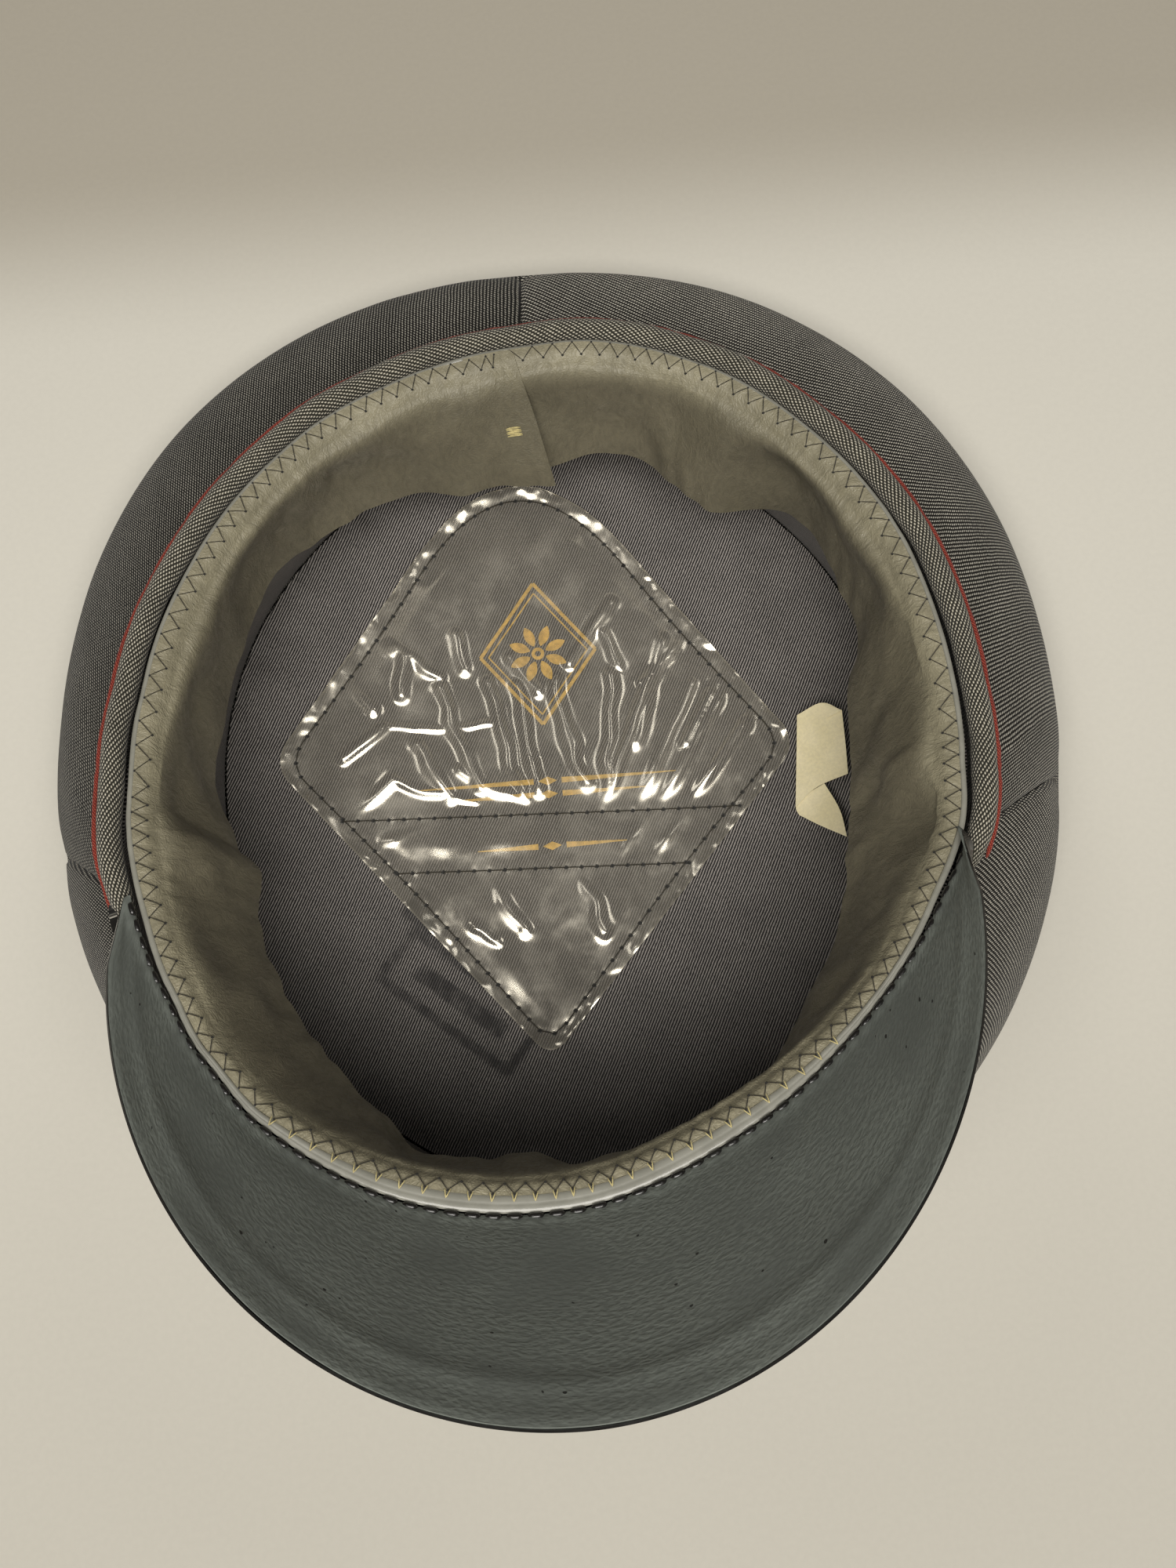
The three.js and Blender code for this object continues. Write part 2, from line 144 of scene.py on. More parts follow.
# Gold print: lozenge with the share and width of its two lines, rosette, and rules as y and half length.
PRINT = Values(x=-3.5, y=30, lift=0.04, thickness=0.06)
LOZENGE = Values(half_width=15, half_height=19, lines=((1, 0.9), (0.86, 0.4)))
ROSETTE = Values(petals=8, start=2.2, length=5.6, tip=0.15, width=2.5, ring=1.2, ring_width=0.9)
RULES = ((-4, 33), (-7.5, 26), (-21, 19))
RULE = Values(start=3.6, widths=(1.5, 0.25), diamond=2.4, diamond_tip=0.05, diamond_width=2.2)

# Sweat shield: outline corners from its middle with how much of each side is rounded, and its seams.
# EDGE_SHARE turns a distance towards the middle into a distance from the edge.
SHIELD_MIDDLE = (-5.6, 2.5)
SHIELD_CORNERS = ((0, 92, 0.42), (-68, 3, 0.07), (-2, -77, 0.06), (67, -2, 0.07))
SHIELD_POINTS = Values(corner=24, side=70)
SHIELD_MARGIN = 3
SHIELD_STITCH = Values(pitch=3.85, height=0.72, arch=0.3, radius=0.15)
# Dark blobs at the film's stitch holes, painted shade of the holes: offsets of their ends and middle from
# each hole, and their radius.
SHIELD_HOLE_SHADE = Values(side=(0.5, 0.1, -0.25), top=(0, 0, 0.12), radius=0.6)
FILM_SHEET = Values(thickness=0.12, off_lining=0.2)
# Painted highlight on the film's border and cut edge: haze added there and the distances from the edge
# where it fades.
FILM_EDGE_PAINTED_GLINT = Values(border=0.06, border_from=(2.6, 2.2), cut=0.6, cut_from=(0.4, 0.1))
EDGE_SHARE = 0.78
SHIELD_SEAMS = (((-56.3, -10.7), (44.9, -14.8)), ((-43.2, -25.2), (30.7, -28.3)))

# Folds that stand up in the film, narrow along x and wide along y. Rows: x and y of both ends.
FOLD = Values(narrow=0.9, wide=1.7, height=0.5, height_step=0.13, bend=0.9, bend_size=6)
SHIELD_FOLDS = (
    (-48, 38, -38, 32), (-43, 38, -30, 25), (-38, 32, -39, 22), (-25, 36, -23, 27), (-10, 30, -4, 20),
    (16, 41, 4, 26), (14, 34, 17, 25), (39, 34, 23, 20), (-55, 6, -45, 13), (-45, 13, -17, 12),
    (-52, -9, -43, -1), (-43, -1, -22, -8), (-25, 1, -10, -10), (-17, 23, -10, -9), (-9, 22, -6, -7),
    (-52, 26, -47, 18), (11, -11, 15, 23), (11, -11, 25, 21), (19, -13, 36, 19), (26, -11, 43, 15),
    (33, -12, 50, 9), (20, -15, 14, -25), (31, -14, 21, -28), (-47, -17, -35, -13), (-25, -41, -19, -44),
    (-30, 22, -20, -4), (0, 22, 6, -6), (29, 30, 20, 4), (-36, 8, -28, -7),
    (44, 22, 33, 3), (-18, -30, -12, -42), (4, -31, 8, -44),
)

# Paper slip: rows of points x, y, z of its front, of the flap folded at its foot, and of its dog-ear.
LABEL = Values(thickness=0.18, count=12)
LABEL_FRONT = (
    ((61.3, 6.6, 8.4), (67.4, 8.6, 11.2), (71.9, 5.6, 13.7)),
    ((60, -5, 7.7), (65.6, -4, 10.9), (71.8, -3.6, 13.8)),
    ((58.6, -16.9, 7), (63.9, -12.8, 9.8), (71.6, -10.7, 13.6)),
)
LABEL_FLAP = (
    ((58.6, -16.9, 6.7), (61.8, -14, 8.2), (66, -12, 10.2)),
    ((58.9, -17.8, 6.3), (62.8, -18, 8.2), (68.9, -19.2, 11.4)),
    ((59.4, -18.8, 6.3), (64, -22.3, 8.6), (69.8, -26.3, 12)),
)
LABEL_EAR = (
    ((67.4, 8.5, 11.65), (71.9, 5.5, 14.1)),
    ((68.2, 4.4, 12.2), (68.4, 4.3, 12.3)),
)

# Stage, in metres, watts and degrees.
FLOOR = Values(size=6, height=-0.0002, front=(-0.25, 0.08), back=(0.125, 0.185))
# Floor colours: the paper's own in the middle; the darker front and back are painted shade.
FLOOR_TONE_AND_PAINTED_SHADE = Values(front=(0.53, 0.505, 0.44), middle=(0.68, 0.655, 0.58), back=(0.44, 0.405, 0.335))
WARM = (1, 0.97, 0.92)
WORLD_STRENGTH = 0.03
KEY = dict(place=(-0.04, -0.55, 1.46), target=(0, 0, 0.05), size=(1.5, 0.86), power=27, colour=WARM)
LAMP = dict(
    place=(0.45, 0.28, 1.15), target=(0, 0, 0), size=(0.3, 0.24), power=0.52, colour=(1, 0.98, 0.95)
)
CAMERA = Values(place=(0.00677, -0.08929, 0.39629), tilt=12, roll=-4.656, sensor=36, lens=36, clip=0.01)

# Cells of the noise lattice, and the span of most values of a noise texture.
LATTICE = 64
SPREAD = (0.3, 0.7)

# Grain of the materials: waver as size and amount, threads as share of the ribs' pitch and lean.
TWILL = Values(waver=(4, 0.35), thread=(0.75, 30), fibre=0.55, cloud=14, cloud_depth=0.4)
LEATHER = Values(strip=(4, 12), pore=0.7, crease=1.7, cloud=22, fine=0.45, depth=0.24, cloud_depth=0.45)
EMBOSSED = Values(waver=(7, 1), ripple=1.05, cloud=28, fine=0.5, speck=1.6, depth=0.065)

# Thread: share of its width that is left at its ends, and a direction in which no stitch runs.
THREAD_TIP = 0.35
THREAD_ACROSS = (0.13, 0.21, 0.97)


def smoothstep(x, low, high):
    t = np.clip((np.asarray(x, float) - low) / (high - low), 0, 1)
    return t * t * (3 - 2 * t)


def lerp(a, b, t):
    return a + (b - a) * t


def bell(x, width):
    return np.exp(-(np.asarray(x) / width) ** 2)


def unit(vectors):
    return vectors / np.maximum(np.linalg.norm(vectors, axis=-1, keepdims=True), 1e-9)


def noise(u, v, seed, period=LATTICE):
    """Smooth noise between -1 and 1 on a lattice of unit cells, which repeats in u after the period."""
    table = np.random.default_rng(seed).uniform(-1, 1, (period, LATTICE))
    u, v = np.broadcast_arrays(np.asarray(u, float), np.asarray(v, float))
    i, j = np.floor(u).astype(int), np.floor(v).astype(int)
    fu, fv = smoothstep(u - i, 0, 1), smoothstep(v - j, 0, 1)
    row, next_row = i % period, (i + 1) % period
    low, high = (lerp(table[row, k % LATTICE], table[next_row, k % LATTICE], fu) for k in (j, j + 1))
    return lerp(low, high, fv)


def oval_point(oval, angle):
    turn = np.radians(np.asarray(angle, float) - 90)
    c, s = np.cos(turn), np.sin(turn)
    length = np.where(s >= 0, oval.back, oval.front)
    power = 2 / np.where(s >= 0, oval.back_power, oval.front_power)
    x = oval.half_width * np.sign(c) * np.abs(c) ** power
    y = length * np.sign(s) * np.abs(s) ** power
    stretch = 1 + oval.skew / oval.half_width * np.sin(2 * np.arctan2(y, x))
    return np.stack([x * stretch, y * stretch], -1)


def oval_outward(oval, angle):
    step = 2.0
    along = oval_point(oval, np.asarray(angle) + step) - oval_point(oval, np.asarray(angle) - step)
    return unit(np.stack([along[..., 1], -along[..., 0]], -1))


def beside(oval, angle, out, up):
    angle, out, up = np.broadcast_arrays(*(np.asarray(a, float) for a in (angle, out, up)))
    flat = oval_point(oval, angle) + oval_outward(oval, angle) * out[..., None]
    return np.concatenate([flat, up[..., None]], -1)


def tilted(points):
    """Takes points of the rim's own frame to the frame of the cap."""
    c, s = math.cos(math.radians(RIM_TILT)), math.sin(math.radians(RIM_TILT))
    x, y, h = points[..., 0], points[..., 1], points[..., 2]
    return np.stack([x, y * c + h * s, h * c - y * s], -1) + np.array(RIM_MIDDLE)


def on_rim(angle, out, up):
    return tilted(beside(RIM, angle, out, up))


def from_rows(rows, x):
    """Reads a table of two columns, easing from row to row."""
    rows = np.array(rows, float)
    i = np.clip(np.searchsorted(rows[:, 0], x, side="right") - 1, 0, len(rows) - 2)
    return lerp(rows[i, 1], rows[i + 1, 1], smoothstep(x, rows[i, 0], rows[i + 1, 0]))


def wrapped(angle):
    return (np.asarray(angle, float) + 180) % 360 - 180


def stray(angle):
    return from_rows(STRAY, wrapped(angle))


def on_edge(angle, out, up):
    """A point beside the real rim, with its small bends."""
    return on_rim(angle, out + stray(angle), up)


def turn_from_peak(angle):
    return np.abs(wrapped(angle))


def from_peak(at_peak, elsewhere, angle):
    return lerp(at_peak, elsewhere, smoothstep(turn_from_peak(angle), *PEAK_SIDE))


def distances(points, axis):
    """Distance run along one axis of a grid of points, from its first row or column."""
    step = np.linalg.norm(np.diff(points, axis=axis), axis=-1)
    start = np.zeros_like(np.take(step, [0], axis=axis))
    return np.cumsum(np.concatenate([start, step], axis=axis), axis=axis)


def normals(grid):
    """Unit normals of a grid of points, u × v."""
    return unit(np.cross(np.gradient(grid, axis=0), np.gradient(grid, axis=1)))


# Meshes

def finish_piece(mesh, name, replaced, material, sharp=55):
    """Makes an object of a mesh, with smooth faces and its place in the frame."""
    mesh.name = name
    mesh.validate()
    mesh.polygons.foreach_set("use_smooth", [True] * len(mesh.polygons))
    mesh.set_sharp_from_angle(angle=math.radians(sharp))
    mesh.materials.append(material)
    piece = bpy.data.objects.new(name, mesh)
    bpy.context.scene.collection.objects.link(piece)
    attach(piece, BODY)
    if replaced:
        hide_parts(*replaced)
    return piece


def grid_mesh(grid, uv, close_u=False, close_v=False, capped=False):
    """A quad mesh through a grid, with points and uv in millimetres. A closed side repeats its first
    row, so uv has one row more there."""
    nu, nv = grid.shape[:2]
    i, j = np.meshgrid(
        np.arange(nu if close_u else nu - 1), np.arange(nv if close_v else nv - 1), indexing="ij"
    )
    corners = [(i, j), (i + 1, j), (i + 1, j + 1), (i, j + 1)]
    quads = np.stack([(a % nu) * nv + b % nv for a, b in corners], -1).reshape(-1, 4)
    quad_uv = np.stack([uv[a, b] for a, b in corners], -2).reshape(-1, 2)
    faces = quads.tolist()
    if capped:
        faces += [list(range(nv))[::-1], list(range((nu - 1) * nv, nu * nv))]
    mesh = bpy.data.meshes.new("piece")
    mesh.from_pydata((grid.reshape(-1, 3) * MM).tolist(), [], faces)
    layer = mesh.uv_layers.new(name="cloth")
    flat = np.zeros((len(mesh.loops), 2))
    flat[: len(quad_uv)] = quad_uv * MM
    layer.data.foreach_set("uv", flat.ravel())
    return mesh


def wall_mesh(face, thickness, closed=False, uv=None, lean=0):
    """A wall of cloth or sheet behind a face: u runs round the cap and v across the wall. The last row
    of a closed face repeats its first. Cloth lies as uv says, or else at a lean from the wall's run."""
    back = face - normals(face) * np.broadcast_to(thickness, face.shape[:2])[..., None]
    if closed:
        back[-1] = back[0] = (back[0] + back[-1]) / 2
    loop = np.concatenate([face, back[:, ::-1]], 1)
    if uv is None:
        along = distances(face, 0)[:, [face.shape[1] // 2]]
        uv = turned(np.stack(np.broadcast_arrays(along, distances(face, 1)), -1), lean)
    uv = np.concatenate([uv, uv[:, ::-1], uv[:, :1]], 1)
    grid = loop[:-1] if closed else loop
    return grid_mesh(grid, uv, close_u=closed, close_v=True, capped=not closed)


def joined(parts):
    """One mesh of several."""
    whole = bmesh.new()
    for part in parts:
        whole.from_mesh(part)
    mesh = bpy.data.meshes.new("piece")
    whole.to_mesh(mesh)
    whole.free()
    return mesh


def turned(uv, angle):
    """Turns flat coordinates, so that a line at this angle comes to lie along u."""
    c, s = math.cos(math.radians(angle)), math.sin(math.radians(angle))
    return np.stack([uv[..., 0] * c + uv[..., 1] * s, uv[..., 1] * c - uv[..., 0] * s], -1)


def tube_mesh(path, normal, side, half_width, half_height, sides, lean=0):
    """A tube along a path, oval in the plane of its side and normal directions, whose cloth leans."""
    turn = np.linspace(0, 2 * np.pi, sides, endpoint=False)
    width = np.broadcast_to(half_width, path.shape[:1])[:, None, None]
    height = np.broadcast_to(half_height, path.shape[:1])[:, None, None]
    ring = side[:, None] * width * np.cos(turn)[None, :, None]
    ring = ring + normal[:, None] * height * np.sin(turn)[None, :, None]
    grid = path[:, None] + ring
    around = np.append(turn, 2 * np.pi) * float(np.mean(width + height)) / 2
    uv = np.stack(np.meshgrid(distances(path, 0), around, indexing="ij"), -1)
    return grid_mesh(grid, turned(uv, lean), close_v=True, capped=True)


def tubes_mesh(tubes):
    """One mesh of many closed tubes, each a grid of rings of points."""
    verts, faces = [], []
    for rings in tubes:
        count, sides = rings.shape[:2]
        first = len(verts)
        verts += rings.reshape(-1, 3).tolist()
        for i in range(count - 1):
            for j in range(sides):
                a, b = first + i * sides + j, first + i * sides + (j + 1) % sides
                faces.append((a, b, b + sides, a + sides))
        last = len(verts) - sides
        faces += [tuple(range(first, first + sides))[::-1], tuple(range(last, last + sides))]
    mesh = bpy.data.meshes.new("piece")
    mesh.from_pydata((np.array(verts) * MM).tolist(), [], faces)
    return mesh


def thread_mesh(paths, radius, sides):
    """Threads along many paths, joined to one mesh, each with tapered ends."""
    turn = np.linspace(0, 2 * np.pi, sides, endpoint=False)[:, None]
    tubes = []
    for path in paths:
        path = np.asarray(path, float)
        along = unit(np.gradient(path, axis=0))
        side = unit(np.cross(along, THREAD_ACROSS))
        size = np.full(len(path), radius)
        size[[0, -1]] *= THREAD_TIP
        ring = side[:, None] * np.cos(turn) + np.cross(side, along)[:, None] * np.sin(turn)
        tubes.append(path[:, None] + ring * size[:, None, None])
    return tubes_mesh(tubes)


def arched(start, end, lift, count=5):
    """A stitch between two points that rises by lift in its middle."""
    t = np.linspace(0, 1, count)[:, None]
    path = lerp(np.asarray(start, float), np.asarray(end, float), t)
    path[:, 2] += lift * np.sqrt(np.clip(4 * t[:, 0] * (1 - t[:, 0]), 0, 1))
    return path


# Materials

class Look:
    """A material of one Principled shader and the nodes that feed it."""

    def __init__(self, name, settings):
        self.material = bpy.data.materials.new(name)
        self.material.use_nodes = True
        self.tree = self.material.node_tree
        self.shader = self.tree.nodes["Principled BSDF"]
        self.feed(self.shader, settings)

    def feed(self, node, sockets):
        for key, value in sockets.items():
            if isinstance(value, bpy.types.NodeSocket):
                self.tree.links.new(value, node.inputs[key])
            elif isinstance(value, tuple) and node.inputs[key].type == "RGBA" and len(value) == 3:
                node.inputs[key].default_value = (*value, 1)
            else:
                node.inputs[key].default_value = value

    def node(self, kind, sockets, out=0, **settings):
        node = self.tree.nodes.new("ShaderNode" + kind)
        for key, value in settings.items():
            setattr(node, key, value)
        self.feed(node, sockets)
        return node.outputs[out]

    def finished(self, sockets):
        self.feed(self.shader, sockets)
        return self.material

    def uv(self):
        return self.node("UVMap", {}, uv_map="cloth")

    def place(self):
        return self.node("TexCoord", {}, out="Object")

    def math(self, operation, a, b=0.0, c=0.0):
        return self.node("Math", {0: a, 1: b, 2: c}, operation=operation)

    def vector(self, operation, a, b, out=0):
        return self.node("VectorMath", {0: a, 1: b}, out=out, operation=operation)

    def grain(self, where, size, detail=3.0, rough=0.55, squeeze=(1, 1, 1)):
        """Noise whose features are about this size, in millimetres."""
        scaled = self.vector("MULTIPLY", where, tuple(s / (size * MM) for s in squeeze))
        sockets = {"Vector": scaled, "Scale": 1.0, "Detail": detail, "Roughness": rough}
        return self.node("TexNoise", sockets)

    def ramp(self, value, low, high, to_low=0.0, to_high=1.0):
        sockets = {"Value": value, "From Min": low, "From Max": high, "To Min": to_low, "To Max": to_high}
        return self.node("MapRange", sockets, interpolation_type="SMOOTHSTEP")

    def mix(self, share, a, b):
        """Mixes two colours."""
        return self.node("Mix", {0: share, 6: a, 7: b}, out=2, data_type="RGBA")

    def tint(self, colour, strength):
        """Multiplies a colour by a number."""
        sockets = {0: 1.0, 6: colour, 7: strength}
        return self.node("Mix", sockets, out=2, data_type="RGBA", blend_type="MULTIPLY")

    def bump(self, height, depth, under=None):
        sockets = {"Height": height, "Distance": depth * MM, "Strength": 1.0}
        if under is not None:
            sockets["Normal"] = under
        return self.node("Bump", sockets)

    def ribs(self, where, pitch, lean):
        """Wave from 0 to 1 whose lines lean by an angle from the v direction towards u."""
        across = 2 * math.pi / (pitch * MM)
        turn = math.radians(lean)
        way = (across * math.cos(turn), -across * math.sin(turn), 0)
        phase = self.vector("DOT_PRODUCT", where, way, out=1)
        return self.math("MULTIPLY_ADD", self.math("SINE", phase), 0.5, 0.5)

    def wavering(self, where, size, amount):
        """Coordinates shaken by noise, so that woven lines aren't ruled."""
        shake = self.node("TexNoise", {"Vector": where, "Scale": 1 / (size * MM), "Detail": 1.0}, out=1)
        centred = self.vector("SUBTRACT", shake, (0.5, 0.5, 0.5))
        return self.vector("ADD", where, self.vector("MULTIPLY", centred, (amount * MM,) * 3))


def twill(name, dark, light, pitch, depth, settings, broken=0.3, stain=None):
    """Twill cloth: raised ribs along u, broken by slanting threads, with uneven colour and fine fibres.
    Broken is the height that is left of a rib between two threads."""
    look = Look(name, settings)
    where = look.uv()
    woven = look.wavering(where, *TWILL.waver)
    rib = look.ribs(woven, pitch, 90)
    share, lean = TWILL.thread
    thread = look.ribs(woven, pitch * share, lean)
    height = look.math("MULTIPLY", rib, look.ramp(thread, 0, 1, broken, 1))
    fibre = look.grain(where, TWILL.fibre, 3, 0.7, (0.6, 1.3, 1))
    cloud = look.grain(where, TWILL.cloud, 4)
    # Colour darkens from the rib tops into the grooves between them: partly the weave's own pattern,
    # partly painted shade in the grooves.
    weave_and_groove_shade = look.math("MULTIPLY_ADD", look.math("SUBTRACT", fibre, 0.5), 1.1, height)
    colour = look.mix(look.ramp(weave_and_groove_shade, 0.2, 0.9), dark, light)
    colour = look.tint(colour, look.ramp(cloud, *SPREAD, 0.88, 1.1))
    if stain:
        mark = look.node("Attribute", {}, out="Fac", attribute_name=stain)
        colour = look.mix(mark, colour, INK)
    raised = look.math("MULTIPLY_ADD", fibre, 0.4, height)
    return look.finished({
        "Base Color": colour,
        "Normal": look.bump(raised, depth, look.bump(cloud, TWILL.cloud_depth)),
    })


def leather(name, base, worn, settings):
    """Thin grained leather, more creased on the sewn strip than where it hangs, and lighter on the strip:
    partly wear, partly painted light for the light that falls on the strip.
    """
    look = Look(name, settings)
    where = look.uv()
    across = look.node("SeparateXYZ", {0: where}, out=1)
    strip = look.ramp(across, *(edge * MM for edge in LEATHER.strip), 1, 0)
    bent = look.wavering(look.wavering(where, 7, 5), 1.6, 0.9)
    cells = look.vector("MULTIPLY", bent, (1 / (LEATHER.pore * MM),) * 3)
    sockets = {"Vector": cells, "Scale": 1.0}
    pores = look.node("TexVoronoi", sockets, out="Distance", feature="DISTANCE_TO_EDGE")
    crease = look.grain(bent, LEATHER.crease, 3, 0.6, (1.4, 0.55, 1))
    cloud = look.grain(where, LEATHER.cloud, 4)
    fine = look.grain(where, LEATHER.fine, 2)
    grain = look.math("MULTIPLY_ADD", look.ramp(pores, 0, 0.3), 0.18, look.math("MULTIPLY", crease, 1.5))
    grain = look.math("MULTIPLY_ADD", fine, 0.25, grain)
    # The strip's lighter colour is partly wear and partly painted light for the light on the upward-facing
    # strip.
    colour = look.mix(strip, base, worn)
    colour = look.tint(colour, look.ramp(cloud, *SPREAD, 0.88, 1.12))
    colour = look.tint(colour, look.ramp(grain, 0.5, 1.3, 0.85, 1.1))
    relief = look.math("MULTIPLY", grain, look.ramp(strip, 0, 1, 0.8, 1))
    return look.finished({
        "Base Color": colour,
        "Roughness": look.ramp(grain, 0.5, 1.4, 0.58, 0.4),
        "Normal": look.bump(relief, LEATHER.depth, look.bump(cloud, LEATHER.cloud_depth)),
    })


def embossed(name, dark, light, speck_colour, settings):
    """Dark sheet pressed with fine ripples along u, smoother in clouds, with a few dark specks."""
    look = Look(name, settings)
    where = look.uv()
    bent = look.wavering(where, *EMBOSSED.waver)
    ripple = look.grain(bent, EMBOSSED.ripple, 1.5, 0.5, (0.75, 1.25, 1))
    cloud = look.grain(where, EMBOSSED.cloud, 3)
    press = look.ramp(cloud, 0.36, 0.58, 0.45, 1)
    height = look.math("MULTIPLY", look.ramp(ripple, *SPREAD), press)
    height = look.math("MULTIPLY_ADD", look.grain(where, EMBOSSED.fine, 3, 0.6), 0.25, height)
    colour = look.mix(look.ramp(cloud, *SPREAD), dark, light)
    colour = look.tint(colour, look.ramp(height, 0.1, 1.1, 0.9, 1.08))
    speck = look.ramp(look.grain(where, EMBOSSED.speck, 0), 0.83, 0.86)
    colour = look.mix(speck, colour, speck_colour)
    return look.finished({
        "Base Color": colour,
        "Roughness": look.ramp(height, 0.1, 1.1, 0.62, 0.46),
        "Normal": look.bump(height, EMBOSSED.depth),
    })


def smooth(name, colour, settings, rough=(0.3, 0.4), waver=0.12, size=5, depth=0.05):
    """Plain glossy or satin surface with slight unevenness of colour, gloss and shape."""
    look = Look(name, settings)
    where = look.place()
    cloud = look.grain(where, size, 4)
    return look.finished({
        "Base Color": look.tint(colour, look.ramp(cloud, *SPREAD, 1 - waver, 1 + waver)),
        "Roughness": look.ramp(cloud, *SPREAD, *rough),
        "Normal": look.bump(cloud, depth),
    })


def clear_film(name, dark, light, settings):
    """Clear plastic film: a faint glossy haze, whiter on its border and most at the cut edge, as a painted
    highlight for the glints the edge catches.
    """
    look = Look(name, settings)
    where = look.place()
    edge = look.node("Attribute", {}, out="Fac", attribute_name="edge")
    haze = look.grain(where, 9, 4)
    return look.finished({
        "Base Color": look.mix(look.ramp(haze, *SPREAD), dark, light),
        "Roughness": look.ramp(haze, 0.35, 0.65, 0.1, 0.22),
        # The edge attribute adds the painted highlight of the border and cut edge.
        "Alpha": look.math("MULTIPLY_ADD", edge, 0.5, look.ramp(haze, *SPREAD, 0.19, 0.24)),
    })


def paper(name, dark, light, settings):
    look = Look(name, settings)
    where = look.place()
    fibre = look.grain(where, 0.7, 4)
    cloud = look.grain(where, 9, 3)
    colour = look.mix(look.ramp(cloud, *SPREAD), dark, light)
    return look.finished({
        "Base Color": look.tint(colour, look.ramp(fibre, *SPREAD, 0.94, 1.04)),
        "Normal": look.bump(fibre, 0.05),
    })


def floor_material():
    """Pale backdrop paper with painted shade: darker far behind the cap and a little towards the front."""
    look = Look("floor_paper", {"Roughness": 0.75, "Specular IOR Level": 0.2})
    where = look.place()
    depth = look.node("SeparateXYZ", {0: where}, out=1)
    # Painted shade: the paper darkens towards the front and far behind the cap.
    colour = look.mix(look.ramp(depth, *FLOOR.front), FLOOR_TONE_AND_PAINTED_SHADE.front, FLOOR_TONE_AND_PAINTED_SHADE.middle)
    colour = look.mix(look.ramp(depth, *FLOOR.back), colour, FLOOR_TONE_AND_PAINTED_SHADE.back)
    fibre = look.grain(where, 1.5, 4)
    colour = look.tint(colour, look.ramp(fibre, *SPREAD, 0.985, 1.01))
    return look.finished({"Base Color": colour, "Normal": look.bump(fibre, 0.03)})


WOOL = {"Roughness": 0.92, "Specular IOR Level": 0.15, "Sheen Weight": 0.12, "Sheen Roughness": 0.5}
CROWN_CLOTH = twill("crown_cloth", (0.01, 0.0095, 0.008), (0.42, 0.397, 0.338), 0.82, 0.24, WOOL)
# Right crown panels: the same twill painted lighter, a painted sheen for the light their ribs catch on
# that side.
CROWN_CLOTH_PAINTED_SHEEN = twill(
    "crown_cloth_right_painted_sheen", (0.014, 0.013, 0.011), (0.66, 0.624, 0.532), 0.82, 0.24, WOOL
)
# Roll: the same cloth as the crown painted lighter, painted light for the light that falls on the roll.
ROLL_CLOTH_PAINTED_LIGHT = twill("roll_cloth", (0.03, 0.028, 0.021), (0.68, 0.634, 0.51), 0.82, 0.22, WOOL)
PIPING_CLOTH = twill("piping_cloth", (0.14, 0.02, 0.014), (0.55, 0.1, 0.06), 0.5, 0.12, WOOL)
LINING_TWILL = dict(
    dark=(0.004, 0.0036, 0.0032), light=(0.335, 0.306, 0.282), pitch=0.66, depth=0.1, broken=0.75,
    settings={"Roughness": 0.6, "Specular IOR Level": 0.35, "Sheen Weight": 0.08},
)
LINING_CLOTH = twill("lining_cloth", stain="ink", **LINING_TWILL)
LINING_SIDE_CLOTH = twill("lining_side_cloth", **LINING_TWILL)
# Colours where it hangs and on the sewn strip; the strip's lighter colour is partly painted light.
SWEATBAND_LEATHER = leather(
    "sweatband_leather", (0.15, 0.134, 0.09), (0.265, 0.24, 0.162), {"Specular IOR Level": 0.5}
)
PEAK_LINING = embossed(
    "peak_lining", (0.17, 0.186, 0.167), (0.19, 0.208, 0.185), (0.03, 0.03, 0.028),
    {"Specular IOR Level": 0.4},
)
PEAK_SHELL = smooth(
    "peak_shell", (0.012, 0.011, 0.01), {"Coat Weight": 0.4, "Coat Roughness": 0.08}, (0.25, 0.4)
)
WELT_PLASTIC = smooth(
    "welt_plastic", (0.27, 0.265, 0.225), {"Coat Weight": 0.5, "Coat Roughness": 0.1},
    (0.3, 0.42), 0.08, 4, 0.1,
)
FILM = clear_film("clear_film", (0.88, 0.82, 0.68), (0.95, 0.89, 0.75), {"Metallic": 0.75})
LABEL_PAPER = paper(
    "label_paper", (0.86, 0.76, 0.47), (0.94, 0.84, 0.56), {"Roughness": 0.8, "Specular IOR Level": 0.25}
)
GOLD = smooth("gold_print", (0.86, 0.55, 0.12), {"Metallic": 0.3}, (0.35, 0.5), 0.18, 1.5)
FIBRE = {"Sheen Weight": 0.2}
# Dark blobs of painted shade at stitch holes, in the film and the sweatband.
PAINTED_HOLE_SHADE = smooth("painted_hole_shade", (0.012, 0.011, 0.008), FIBRE, (0.7, 0.85), 0.3, 0.6)
OLIVE_THREAD = smooth("olive_thread", (0.024, 0.019, 0.009), FIBRE, (0.6, 0.8), 0.3, 0.6)
STRAW_THREAD = smooth("straw_thread", (0.52, 0.44, 0.2), FIBRE, (0.55, 0.75), 0.25, 0.6)


# Crown

